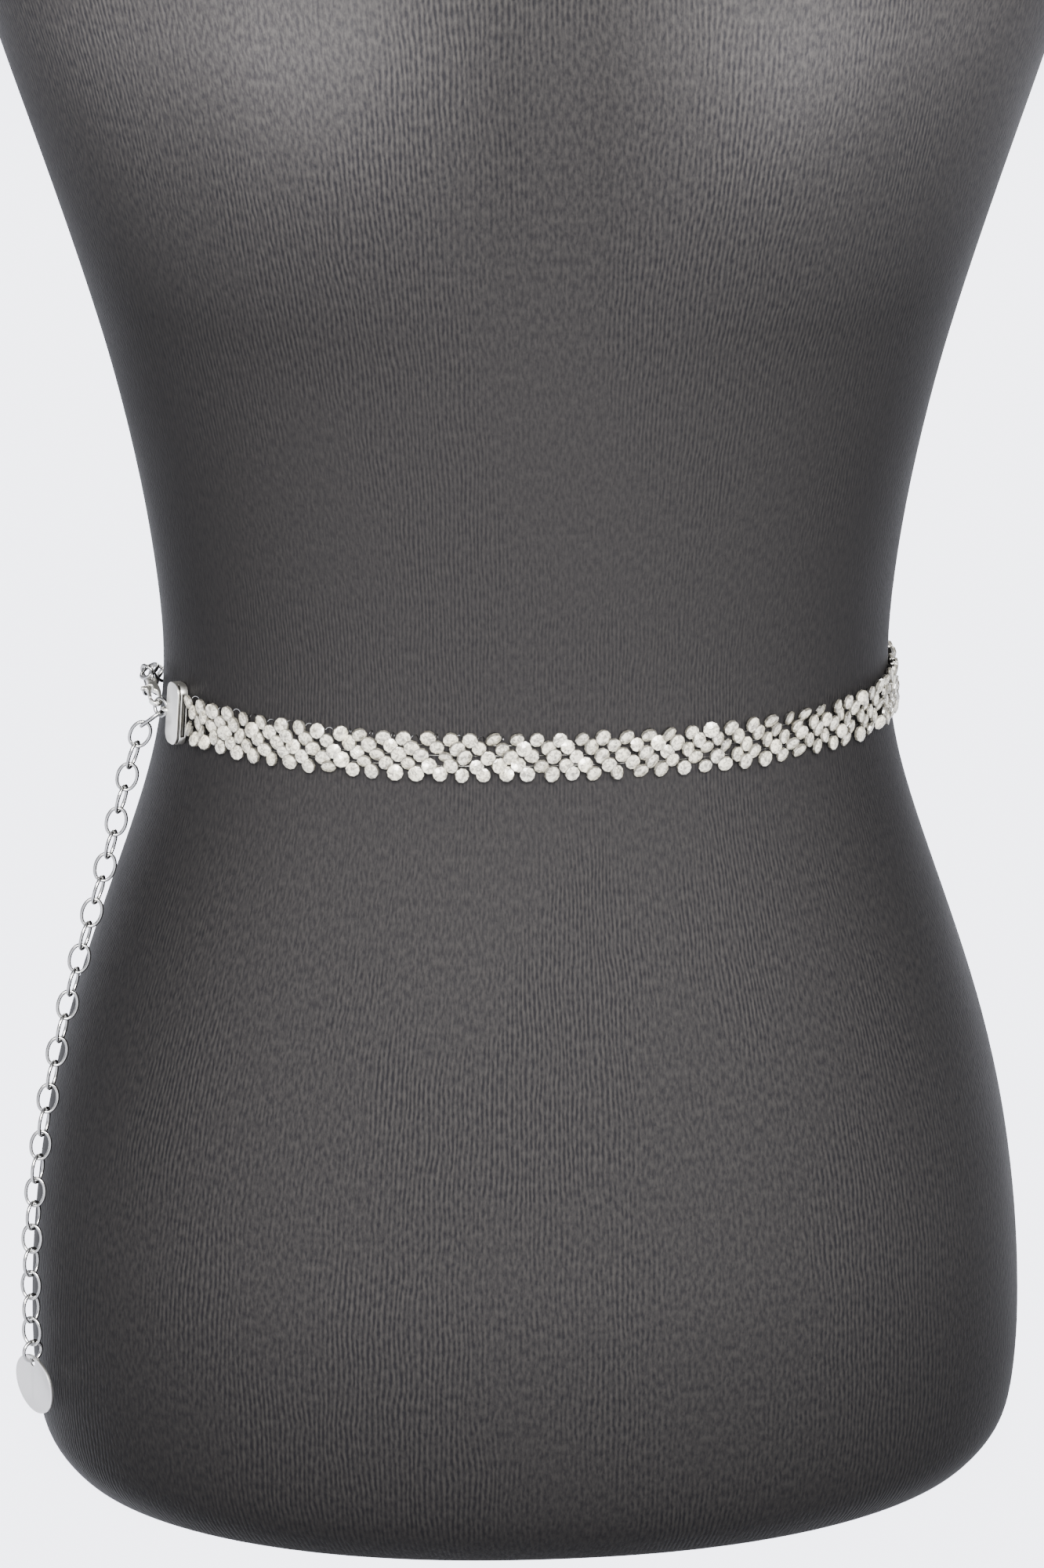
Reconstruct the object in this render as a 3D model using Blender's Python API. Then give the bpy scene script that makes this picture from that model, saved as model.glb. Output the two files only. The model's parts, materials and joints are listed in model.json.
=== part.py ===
"""A rhinestone chain belt, fastened round a limbless dress form.

Metres, +Z up. The form stands on its flat base at the origin and faces -Y, so +X is the
viewer's right. Belt pieces are placed in the belt's own coordinates: along runs from the
band's left end to the viewer's right and on round the back, rise runs up the form, and
lift runs straight out from the form's surface.
"""

import math
from bisect import bisect_right
from collections import namedtuple

import bmesh
import bpy
import numpy as np
from mathutils import Matrix, Vector
from mathutils.geometry import delaunay_2d_cdt

MM = 0.001
SEAM = 0.3 * MM

# Dress form: level sections from the base to the neck
Section = namedtuple("Section", "height half_width front back squareness")
FORM_SECTIONS = (
    Section(0.000, 0.1612, 0.1092, 0.1090, 2.18),
    Section(0.004, 0.1650, 0.1125, 0.1130, 2.18),
    Section(0.012, 0.1697, 0.1178, 0.1190, 2.20),
    Section(0.024, 0.1716, 0.1205, 0.1230, 2.20),
    Section(0.042, 0.1727, 0.1220, 0.1260, 2.20),
    Section(0.070, 0.1718, 0.1225, 0.1285, 2.20),
    Section(0.100, 0.1688, 0.1215, 0.1280, 2.20),
    Section(0.130, 0.1636, 0.1185, 0.1240, 2.20),
    Section(0.160, 0.1558, 0.1140, 0.1165, 2.20),
    Section(0.190, 0.1457, 0.1080, 0.1070, 2.20),
    Section(0.220, 0.1347, 0.1010, 0.0970, 2.22),
    Section(0.245, 0.1265, 0.0960, 0.0900, 2.24),
    Section(0.266, 0.1224, 0.0935, 0.0860, 2.24),
    Section(0.285, 0.1211, 0.0930, 0.0840, 2.24),
    Section(0.310, 0.1226, 0.0945, 0.0840, 2.24),
    Section(0.345, 0.1276, 0.0985, 0.0860, 2.24),
    Section(0.380, 0.1352, 0.1035, 0.0900, 2.26),
    Section(0.420, 0.1466, 0.1085, 0.0955, 2.28),
    Section(0.460, 0.1594, 0.1115, 0.1005, 2.30),
    Section(0.500, 0.1725, 0.1120, 0.1035, 2.32),
    Section(0.540, 0.1832, 0.1080, 0.1030, 2.36),
    Section(0.580, 0.1900, 0.0985, 0.0985, 2.40),
    Section(0.615, 0.1915, 0.0870, 0.0915, 2.40),
    Section(0.642, 0.1820, 0.0760, 0.0825, 2.36),
    Section(0.662, 0.1590, 0.0670, 0.0730, 2.30),
    Section(0.680, 0.1240, 0.0600, 0.0645, 2.20),
    Section(0.696, 0.0880, 0.0555, 0.0585, 2.10),
    Section(0.712, 0.0660, 0.0525, 0.0550, 2.05),
    Section(0.732, 0.0580, 0.0505, 0.0530, 2.00),
    Section(0.758, 0.0560, 0.0500, 0.0520, 2.00),
)
FORM_RING_STEP = 0.024
FORM_SIDES = 48
BUST_HEIGHT = 0.488
BUST_HALF_SPACING = 0.074
BUST_RISE = 0.022
BUST_WIDTH = 0.050
BUST_TALLNESS = 0.056

# Belt path round the form
BELT_HEIGHT = 0.2735
BELT_START_ANGLE = math.radians(157.0)
WALK_LIFT = 2.0 * MM
WALK_STEPS = 720

# Stone band
BAND_LENGTH = 322.0 * MM
BAND_GAP = 0.5 * MM
BAND_WALL = 1.0 * MM
STONE_RISE = 1.0 * MM
STONE_ROWS = 5
STONE_PITCH = 7.1 * MM
ROW_RISE = 2.9 * MM
ROW_SHIFT = 2.8 * MM
STONE_SIDES = 6
STONE_RADIUS = 2.18 * MM
EDGE_INSET = 2.6 * MM
LOBE_FOOT = 2.45 * MM
LOBE_CROWN = 1.9 * MM
LOBE_OUT = 2.4 * MM
LOBE_IN = 0.6 * MM

# End bars
BAR_HEIGHT = 20.5 * MM
BAR_WIDTH = 9.0 * MM
BAR_DEPTH = 3.6 * MM
BAR_CORNER = 3.4 * MM
BAR_GAP = 0.8 * MM
LUG_RADIUS = 1.4 * MM
LUG_STANDOFF = 0.9 * MM
LUG_LIFT = 3.6 * MM

# Wire pieces
WIRE = 1.1 * MM
WIRE_REACH = WIRE + SEAM
LINK_WIDTH = 7.6 * MM
LINK_PITCH = 8.15 * MM
LINK_END_STEPS = 4
JUMP_RING_RADIUS = 2.95 * MM
LEFT_RING_SWING = math.radians(20.0)
RING_STEPS = 14

# Lobster clasp, in its own plane: along its length from the hook, and out from the form
CLASP_SLOPE = math.radians(27.0)
CLASP_TUCK = math.radians(12.0)
CLASP_THICK = 1.7 * MM
TRIGGER_THICK = 1.5 * MM
HOOK_RADIUS = 2.3 * MM
HOOK_WALL = 1.15 * MM
EYE_PLACE = 12.0 * MM
EYE_RADIUS = 1.9 * MM
EYE_HOLE = 0.95 * MM
TAIL_RING_RADIUS = 2.1 * MM
TAIL_RING_WIRE = 0.9 * MM
CLASP_LEAD = 6.0 * MM

# Back chain
BACK_LIFT = 3.7 * MM
BACK_RISE = -3.0 * MM
BACK_GROUP = 4
BACK_TURN = math.radians(45.0)
BACK_END_TURN = math.radians(34.0)
FUSE_DEPTH = 0.25 * MM

# Hanging chain and disc
HANG_LINKS = 28
HangStop = namedtuple("HangStop", "height across ahead")
HANG_PATH = (
    HangStop(0.035, -0.1706, -0.0430),
    HangStop(0.075, -0.1706, -0.0391),
    HangStop(0.105, -0.1685, -0.0358),
    HangStop(0.135, -0.1639, -0.0317),
    HangStop(0.165, -0.1571, -0.0272),
    HangStop(0.195, -0.1488, -0.0234),
    HangStop(0.220, -0.1412, -0.0219),
    HangStop(0.240, -0.1362, -0.0222),
    HangStop(0.255, -0.1322, -0.0237),
    HangStop(0.266, -0.1290, -0.0254),
)
EVEN_TURN = 0.0
ODD_TURN = math.radians(66.0)
LAST_TURN = math.radians(-30.0)
TURN_FROM_LINK = 18
TAG_RING_RADIUS = 3.55 * MM
DISC_RADIUS = 10.5 * MM
DISC_THICK = 1.0 * MM
DISC_HOLE = 1.45 * MM
DISC_RIM = 2.3 * MM
DISC_SIDES = 32
DISC_AZIMUTH = math.radians(36.0)
DISC_LEAN = math.radians(3.0)


def smooth_row(table, height):
    """A row at any height, on smooth curves through the rows of a table."""
    heights = [row.height for row in table]
    height = min(max(height, heights[0]), heights[-1])
    low = min(bisect_right(heights, height), len(heights) - 1) - 1
    span = heights[low + 1] - heights[low]
    part = (height - heights[low]) / span
    values = []
    for column in range(1, len(table[0])):
        start, end = table[low][column], table[low + 1][column]
        leave, arrive = slope_at(table, low, column) * span, slope_at(table, low + 1, column) * span
        values.append(
            (1 + 2 * part) * (1 - part) ** 2 * start
            + part * (1 - part) ** 2 * leave
            + part**2 * (3 - 2 * part) * end
            + part**2 * (part - 1) * arrive
        )
    return table[0]._make([height] + values)


def slope_at(table, row, column):
    """How fast a column changes with height at one row of a table."""
    before = table[max(row - 1, 0)]
    after = table[min(row + 1, len(table) - 1)]
    return (after[column] - before[column]) / (after.height - before.height)


def form_point(angle, height):
    """A point of the form's surface; angle 0 is +X and 90 degrees is the front."""
    section = smooth_row(FORM_SECTIONS, height)
    across, ahead = math.cos(angle), math.sin(angle)
    power = 2 / section.squareness
    depth = section.front if ahead > 0 else section.back
    x = math.copysign(abs(across) ** power, across) * section.half_width
    y = -math.copysign(abs(ahead) ** power, ahead) * depth
    if ahead > 0:
        y -= bust_rise(x, height) * ahead
    return Vector((x, y, height))


def bust_rise(x, height):
    """How far the two soft mounds of the chest stand out of their section."""
    sideways = (abs(x) - BUST_HALF_SPACING) / BUST_WIDTH
    upwards = (height - BUST_HEIGHT) / BUST_TALLNESS
    return BUST_RISE * math.exp(-(sideways**2) - upwards**2)


def form_normal(angle, height):
    """The outward direction of the form's surface."""
    step = 0.5 * MM
    turn = form_point(angle - 0.01, height) - form_point(angle + 0.01, height)
    climb = form_point(angle, height + step) - form_point(angle, height - step)
    return turn.cross(climb).normalized()


def walk_round():
    """Angles once round the form at belt height, and the length walked to each."""
    angles, lengths = [BELT_START_ANGLE], [0.0]
    last = belt_surface(BELT_START_ANGLE)
    for step in range(1, WALK_STEPS + 1):
        angle = BELT_START_ANGLE - math.tau * step / WALK_STEPS
        here = belt_surface(angle)
        angles.append(angle)
        lengths.append(lengths[-1] + (here - last).length)
        last = here
    return np.array(angles), np.array(lengths)


def belt_surface(angle):
    """A point that lies over the form by the lift at which the belt is measured."""
    return form_point(angle, BELT_HEIGHT) + form_normal(angle, BELT_HEIGHT) * WALK_LIFT


WALK_ANGLES, WALK_LENGTHS = walk_round()
BELT_ROUND = float(WALK_LENGTHS[-1])


def angle_at(along):
    """The angle round the form at a distance along the belt, before its start too."""
    turns, rest = divmod(along, BELT_ROUND)
    return float(np.interp(rest, WALK_LENGTHS, WALK_ANGLES)) - math.tau * turns


def seat(along, rise, lift):
    """A point given in the belt's coordinates."""
    angle, height = angle_at(along), BELT_HEIGHT + rise
    return form_point(angle, height) + form_normal(angle, height) * lift


def seat_matrix(along, rise, lift):
    """A frame on the belt: X along it, Y up the form, Z straight out."""
    out = form_normal(angle_at(along), BELT_HEIGHT + rise)
    ahead = seat(along + MM, rise, 0) - seat(along - MM, rise, 0)
    return frame_matrix(ahead, out, seat(along, rise, lift))


def frame_matrix(x_axis, z_axis, place):
    """A matrix from its X direction, a direction near its Z, and its origin."""
    x_axis = x_axis.normalized()
    z_axis = (z_axis - x_axis * z_axis.dot(x_axis)).normalized()
    matrix = Matrix((x_axis, z_axis.cross(x_axis), z_axis)).transposed()
    return Matrix.Translation(place) @ matrix.to_4x4()


def clear_scene():
    for old in list(bpy.data.objects):
        bpy.data.objects.remove(old, do_unlink=True)


def make_material(name, colour, roughness, metallic):
    material = bpy.data.materials.new(name)
    material.use_nodes = True
    shader = material.node_tree.nodes["Principled BSDF"]
    shader.inputs["Base Color"].default_value = (*colour, 1.0)
    shader.inputs["Roughness"].default_value = roughness
    shader.inputs["Metallic"].default_value = metallic
    return material


def add_object(name, mesh, material, matrix=None):
    """One named piece, smooth but for its sharp edges."""
    piece = bpy.data.objects.new(name, mesh)
    bpy.context.scene.collection.objects.link(piece)
    mesh.materials.clear()
    mesh.materials.append(material)
    mesh.shade_smooth()
    mesh.set_sharp_from_angle(angle=math.radians(35))
    if matrix is not None:
        piece.matrix_world = matrix
    return piece


def tidy_mesh(mesh, weld=0.002 * MM):
    """Merges doubled points and turns every face outwards."""
    shape = bmesh.new()
    shape.from_mesh(mesh)
    bmesh.ops.remove_doubles(shape, verts=shape.verts, dist=weld)
    bmesh.ops.recalc_face_normals(shape, faces=shape.faces)
    shape.to_mesh(mesh)
    shape.free()
    return mesh


def curve_mesh(curve):
    """The mesh of a curve, which is then no longer needed."""
    carrier = bpy.data.objects.new("carrier", curve)
    bpy.context.scene.collection.objects.link(carrier)
    graph = bpy.context.evaluated_depsgraph_get()
    mesh = bpy.data.meshes.new_from_object(carrier.evaluated_get(graph))
    bpy.data.objects.remove(carrier, do_unlink=True)
    bpy.data.curves.remove(curve)
    return tidy_mesh(mesh)


def add_outline(curve, points):
    """A closed straight-sided spline through flat points."""
    spline = curve.splines.new("POLY")
    spline.points.add(len(points) - 1)
    for target, point in zip(spline.points, points):
        target.co = (point[0], point[1], 0.0, 1.0)
    spline.use_cyclic_u = True


def wire_mesh(points, wire):
    """A closed loop of round wire bent through flat points."""
    curve = bpy.data.curves.new("wire", "CURVE")
    curve.dimensions = "3D"
    curve.bevel_depth = wire / 2
    curve.bevel_resolution = 0
    add_outline(curve, points)
    return curve_mesh(curve)


def plate_mesh(outlines, thickness):
    """A flat plate inside the first outline, with the others cut through it."""
    curve = bpy.data.curves.new("plate", "CURVE")
    curve.dimensions = "2D"
    curve.fill_mode = "BOTH"
    curve.extrude = thickness / 2
    for outline in outlines:
        add_outline(curve, outline)
    return curve_mesh(curve)


def arc(centre, radius, start, end, steps):
    """Points of an arc, in degrees, with both its ends."""
    turns = np.radians(np.linspace(start, end, steps + 1))
    return [(centre[0] + radius * math.cos(t), centre[1] + radius * math.sin(t)) for t in turns]


def circle(radius, steps, centre=(0.0, 0.0)):
    return arc(centre, radius, 0, 360 - 360 / steps, steps - 1)


def rounded_box(width, height, corner, steps):
    """A rectangle round the origin with round corners."""
    inner_x, inner_y = width / 2 - corner, height / 2 - corner
    points = []
    for quarter, (sx, sy) in enumerate(((1, 1), (-1, 1), (-1, -1), (1, -1))):
        start = 90 * quarter
        points += arc((sx * inner_x, sy * inner_y), corner, start, start + 90, steps)
    return points


def link_outline(back, front):
    """The middle line of an oval link that reaches back and front from its centre."""
    radius = (LINK_WIDTH - WIRE) / 2
    points = arc((front - radius, 0), radius, -90, 90, LINK_END_STEPS)
    return points + arc((radius - back, 0), radius, 90, 270, LINK_END_STEPS)


def fuse(name, pieces, material):
    """One closed body from pieces that overlap, which it takes the place of."""
    base = pieces[0]
    for other in pieces[1:]:
        union = base.modifiers.new("join", "BOOLEAN")
        union.operation = "UNION"
        union.solver = "EXACT"
        union.object = other
    graph = bpy.context.evaluated_depsgraph_get()
    mesh = bpy.data.meshes.new_from_object(base.evaluated_get(graph))
    mesh.transform(base.matrix_world)
    for piece in pieces:
        bpy.data.objects.remove(piece, do_unlink=True)
    return add_object(name, tidy_mesh(mesh), material)


def build_form(material):
    """The torso: rings of points up the sections, closed by a flat base and a flat neck."""
    heights = [FORM_SECTIONS[0].height]
    for low, high in zip(FORM_SECTIONS, FORM_SECTIONS[1:]):
        steps = max(1, round((high.height - low.height) / FORM_RING_STEP))
        heights += list(np.linspace(low.height, high.height, steps + 1)[1:])
    shape = bmesh.new()
    rings = []
    for height in heights:
        angles = [math.tau * side / FORM_SIDES for side in range(FORM_SIDES)]
        rings.append([shape.verts.new(form_point(angle, height)) for angle in angles])
    for low, high in zip(rings, rings[1:]):
        for side in range(FORM_SIDES):
            after = (side + 1) % FORM_SIDES
            shape.faces.new((low[side], low[after], high[after], high[side]))
    shape.faces.new(rings[0])
    shape.faces.new(rings[-1])
    mesh = bpy.data.meshes.new("dress_form")
    shape.to_mesh(mesh)
    shape.free()
    add_object("dress_form", tidy_mesh(mesh), material)


def stone_places():
    """The flat place of every stone, row by row from the top."""
    places = []
    for row in range(STONE_ROWS):
        rise = (STONE_ROWS // 2 - row) * ROW_RISE
        along = EDGE_INSET + (row * ROW_SHIFT) % STONE_PITCH
        places.append([])
        while along < BAND_LENGTH - EDGE_INSET:
            places[row].append((along, rise))
            along += STONE_PITCH
    return places


def lobed_edge(stones, side):
    """One long edge of the band, a lobe round each stone; side is 1 at the top."""
    points = []
    for along, rise in stones:
        foot, crown = rise - side * LOBE_IN, rise + side * LOBE_OUT
        points.append((along - LOBE_FOOT, foot))
        points.append((along - LOBE_CROWN, crown))
        points.append((along + LOBE_CROWN, crown))
        points.append((along + LOBE_FOOT, foot))
    return points


def band_outline(places):
    """The band's outline, anticlockwise in its flat layout."""
    end = (STONE_ROWS // 2) * ROW_RISE - LOBE_IN
    bottom = [(0.0, -end)] + lobed_edge(places[-1], -1) + [(BAND_LENGTH, -end)]
    top = [(0.0, end)] + lobed_edge(places[0], 1) + [(BAND_LENGTH, end)]
    return bottom + top[::-1]


def stone_outline(place):
    """The stone's outline, with flat sides towards its neighbours in the column."""
    start = math.atan2(-ROW_RISE, ROW_SHIFT) + math.pi / STONE_SIDES
    turns = [start + math.tau * side / STONE_SIDES for side in range(STONE_SIDES)]
    return [
        (place[0] + STONE_RADIUS * math.cos(turn), place[1] + STONE_RADIUS * math.sin(turn))
        for turn in turns
    ]


def build_band(material):
    """The band: a wall that is plain inside, with each stone raised out of its outer side."""
    places = stone_places()
    outline = band_outline(places)
    loops = [outline] + [stone_outline(place) for row in places for place in row]
    flat = [point for loop in loops for point in loop]
    shape = bmesh.new()
    wall = [shape.verts.new(seat(*point, BAND_GAP + BAND_WALL)) for point in flat]
    inner = [shape.verts.new(seat(*point, BAND_GAP)) for point in outline]
    crown = [shape.verts.new(seat(*point, BAND_GAP + BAND_WALL + STONE_RISE)) for point in flat]
    for face, raised in fill_flat(loops):
        shape.faces.new([crown[i] if raised else wall[i] for i in face])
    for face, raised in fill_flat(loops[:1]):
        shape.faces.new([inner[i] for i in face])
    first = 0
    for loop in loops:
        side = crown if first else inner
        for step in range(len(loop)):
            here, after = first + step, first + (step + 1) % len(loop)
            shape.faces.new((wall[here], wall[after], side[after], side[here]))
        first += len(loop)
    loose = [point for point in crown if not point.link_faces]
    bmesh.ops.delete(shape, geom=loose, context="VERTS")
    mesh = bpy.data.meshes.new("stone_band")
    shape.to_mesh(mesh)
    shape.free()
    add_object("stone_band", tidy_mesh(mesh), material)


def fill_flat(loops):
    """Triangles inside the first outline, each with whether it lies in a later one too."""
    scaled = [Vector((x / MM, y / MM)) for loop in loops for x, y in loop]
    faces, first = [], 0
    for loop in loops:
        faces.append(list(range(first, first + len(loop))))
        first += len(loop)
    result = delaunay_2d_cdt(scaled, [], faces, 1, 1e-6, True)
    return [(face, len(inside) > 1) for face, inside in zip(result[2], result[5]) if 0 in inside]


def build_end_bar(name, along, side, swing, material):
    """A cast bar with a wire lug on its outer side; gives the jump ring's place."""
    lift = BAR_GAP + BAR_DEPTH / 2
    outer = rounded_box(BAR_WIDTH, BAR_HEIGHT, BAR_CORNER, 3)
    matrix = seat_matrix(along, 0, lift)
    plate = add_object("plate", plate_mesh([outer], BAR_DEPTH), material, matrix)
    reach = side * (BAR_WIDTH / 2 + LUG_STANDOFF)
    place = matrix @ Matrix.Translation((reach, 0, LUG_LIFT - lift))
    lug_mesh = wire_mesh(circle(LUG_RADIUS, RING_STEPS), WIRE)
    lug = add_object("lug", lug_mesh, material, place @ Matrix.Rotation(math.pi / 2, 4, "X"))
    fuse(name, [plate, lug], material)
    turned = place @ Matrix.Rotation(-side * swing, 4, "Y")
    return turned @ Matrix.Translation((side * JUMP_RING_RADIUS, 0, 0))


def clasp_outline():
    """The hook, back and eye of the lobster clasp as one outline."""
    hook = (HOOK_RADIUS, HOOK_RADIUS)
    hole = HOOK_RADIUS - HOOK_WALL
    eye = (EYE_PLACE, HOOK_RADIUS)
    points = arc(hook, HOOK_RADIUS, 82, 270, 8)
    points += [(8.6 * MM, 0.2 * MM)]
    points += arc(eye, EYE_RADIUS, -130, 130, 8)
    points += [(9.2 * MM, 4.4 * MM), (9.2 * MM, 2.6 * MM), (7.2 * MM, 2.6 * MM)]
    points += [(6.4 * MM, HOOK_WALL)]
    points += arc(hook, hole, 270, 82, 6)
    return points


def trigger_outline():
    """The sprung arm that closes the hook, with the nub that a thumb pulls back."""
    arm_low, arm_high = 3.5 * MM, 4.6 * MM
    return [
        (2.95 * MM, arm_low),
        (6.6 * MM, arm_low),
        (7.5 * MM, 2.9 * MM),
        (8.9 * MM, 2.9 * MM),
        (8.9 * MM, 4.4 * MM),
        (8.6 * MM, 6.3 * MM),
        (8.0 * MM, 6.7 * MM),
        (7.3 * MM, 6.3 * MM),
        (7.4 * MM, 4.9 * MM),
        (6.9 * MM, arm_high),
        (2.95 * MM, arm_high),
    ]


def build_clasp(ring, material):
    """The clasp, hooked on the left jump ring; gives the chain's last two points, at its tail."""
    out = form_normal(angle_at(-BAR_WIDTH), BELT_HEIGHT)
    ahead = frame_matrix(seat(0, 0, 0) - seat(-BAR_WIDTH, 0, 0), out, Vector()).to_3x3()
    slope = Vector((-math.cos(CLASP_SLOPE), math.sin(CLASP_SLOPE), -math.sin(CLASP_TUCK)))
    length = (ahead @ slope).normalized()
    facing = ring.to_3x3().col[2]
    pull = (length - facing * length.dot(facing)).normalized()
    held = ring.translation + pull * JUMP_RING_RADIUS
    tip = held - length * (HOOK_WALL + SEAM + WIRE / 2)
    side = out.cross(length)
    plane = frame_matrix(length, side, tip)
    if plane.to_3x3().col[1].dot(out) < 0:
        plane = frame_matrix(length, -side, tip)
    plane = plane @ Matrix.Translation((0, -HOOK_RADIUS, 0))
    body = [clasp_outline(), circle(EYE_HOLE, 10, (EYE_PLACE, HOOK_RADIUS))]
    add_object("clasp_body", plate_mesh(body, CLASP_THICK), material, plane)
    add_object("clasp_trigger", plate_mesh([trigger_outline()], TRIGGER_THICK), material, plane)
    play = EYE_HOLE - TAIL_RING_WIRE / 2 - SEAM
    centre = EYE_PLACE + play + TAIL_RING_RADIUS
    turned = plane @ Matrix.Translation((centre, HOOK_RADIUS, 0)) @ Matrix.Rotation(math.pi / 2, 4, "X")
    ring_mesh = wire_mesh(circle(TAIL_RING_RADIUS, 12), TAIL_RING_WIRE)
    add_object("clasp_ring", ring_mesh, material, turned)
    reach = centre + TAIL_RING_RADIUS - TAIL_RING_WIRE / 2 - SEAM - WIRE / 2
    return [plane @ Vector((reach + CLASP_LEAD, HOOK_RADIUS, 0)), plane @ Vector((reach, HOOK_RADIUS, 0))]


def walk(points):
    """Distances along a polyline, starting from nought."""
    steps = [(b - a).length for a, b in zip(points, points[1:])]
    return np.concatenate([[0.0], np.cumsum(steps)])


def point_on(points, lengths, distance):
    """The point a distance along a polyline, carried straight on past its ends."""
    index = min(max(bisect_right(lengths, distance) - 1, 0), len(points) - 2)
    step = points[index + 1] - points[index]
    return points[index] + step * ((distance - lengths[index]) / step.length)


def link_matrix(points, lengths, distance, width_axis):
    """A link's frame: X along the chain, Y across its width."""
    reach = LINK_PITCH / 2
    ahead = point_on(points, lengths, distance + reach) - point_on(points, lengths, distance - reach)
    middle = (
        point_on(points, lengths, distance + reach) + point_on(points, lengths, distance - reach)
    ) / 2
    flat = frame_matrix(ahead, width_axis, middle)
    return flat @ Matrix.Rotation(math.pi / 2, 4, "X")


def back_path(start, tail):
    """The chain's line round the back, from the right jump ring to the clasp's ring."""
    first = BAND_LENGTH + 22 * MM
    last = BELT_ROUND - 42 * MM
    points = [start]
    for part in np.linspace(0.0, 1.0, 90):
        rise = BACK_RISE * part**2 * (3 - 2 * part)
        points.append(seat(first + (last - first) * part, rise, BACK_LIFT))
    return points + tail


def build_back_chain(start, tail, material):
    """Oval links round the back, joined in short stretches of a few links each."""
    points = back_path(start, tail)
    lengths = walk(points)
    total = lengths[-1]
    count = round(total / LINK_PITCH)
    pitch = (total - WIRE - SEAM) / count
    free_end, fused_end = (pitch + SEAM + WIRE) / 2, (pitch - FUSE_DEPTH + WIRE) / 2
    group = []
    for number in range(count):
        opens = number % BACK_GROUP == 0
        closes = number % BACK_GROUP == BACK_GROUP - 1 or number == count - 1
        back = free_end if opens else fused_end
        front = free_end if closes else fused_end
        distance = (SEAM + WIRE) / 2 + pitch * (number + 0.5)
        middle = point_on(points, lengths, distance)
        out = Vector((middle.x, middle.y, 0)).normalized()
        turn = BACK_END_TURN if number in (0, count - 1) else BACK_TURN
        turn = turn if number % 2 else -turn
        matrix = link_matrix(points, lengths, distance, out)
        matrix = matrix @ Matrix.Rotation(turn, 4, "X")
        mesh = wire_mesh(link_outline(back, front), WIRE)
        group.append(add_object(f"link_{number:02d}", mesh, material, matrix))
        if closes:
            fuse(f"back_chain_{number // BACK_GROUP + 1:02d}", group, material)
            group = []


def hang_path(ring):
    """The line of the hanging chain: from the jump ring out over the hip, then plumb."""
    points = [ring @ Vector((0, WIRE_REACH - JUMP_RING_RADIUS, 0))]
    for height in np.arange(HANG_PATH[-1].height, HANG_PATH[0].height, -2 * MM):
        stop = smooth_row(HANG_PATH, height)
        points.append(Vector((stop.across, stop.ahead, stop.height)))
    return points + [points[-1] + Vector((0, 0, -0.1))]


def hang_turn(number):
    """How far a hanging link's width is turned from the viewer's left towards the front."""
    drift = max(0, number - TURN_FROM_LINK) / (HANG_LINKS + 1 - TURN_FROM_LINK)
    return (ODD_TURN if number % 2 else EVEN_TURN) + LAST_TURN * drift


def build_hanging_chain(ring, material):
    """The spare chain, link by link; gives the middle of the wire that the disc hangs on."""
    points = hang_path(ring)
    lengths = walk(points)
    reach = (LINK_PITCH + SEAM + WIRE) / 2
    mesh = wire_mesh(link_outline(reach, reach), WIRE)
    for number in range(1, HANG_LINKS + 1):
        distance = reach + (number - 1) * LINK_PITCH
        turn = hang_turn(number)
        width = Vector((-math.cos(turn), -math.sin(turn), 0))
        matrix = link_matrix(points, lengths, distance, width)
        add_object(f"hanging_link_{number:02d}", mesh, material, matrix)
    top = distance + reach - WIRE_REACH
    centre = point_on(points, lengths, top + TAG_RING_RADIUS)
    turn = hang_turn(HANG_LINKS + 1)
    width = Vector((-math.cos(turn), -math.sin(turn), 0))
    matrix = frame_matrix(Vector((0, 0, -1)), width, centre) @ Matrix.Rotation(math.pi / 2, 4, "X")
    matrix = matrix @ Matrix.Rotation(math.pi / RING_STEPS, 4, "Z")
    add_object("tag_ring", wire_mesh(circle(TAG_RING_RADIUS, RING_STEPS), WIRE), material, matrix)
    return centre + Vector((0, 0, -TAG_RING_RADIUS * math.cos(math.pi / RING_STEPS)))


def disc_normal():
    """The way the disc's outer face looks."""
    level = math.cos(DISC_LEAN)
    return Vector(
        (
            -math.cos(DISC_AZIMUTH) * level,
            -math.sin(DISC_AZIMUTH) * level,
            -math.sin(DISC_LEAN),
        )
    )


def build_disc(pivot, material):
    """The blank disc, hung by its hole; its origin is on the axis that it swings about."""
    normal = disc_normal()
    down = Vector((0, 0, -1))
    down = (down - normal * down.dot(normal)).normalized()
    play = DISC_HOLE - WIRE / 2 - SEAM
    hole = (play, 0.0)
    centre = (play + DISC_RADIUS - DISC_RIM, 0.0)
    outlines = [circle(DISC_RADIUS, DISC_SIDES, centre), circle(DISC_HOLE, 12, hole)]
    matrix = frame_matrix(down, normal, pivot)
    return add_object("disc_tag", plate_mesh(outlines, DISC_THICK), material, matrix)


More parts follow.
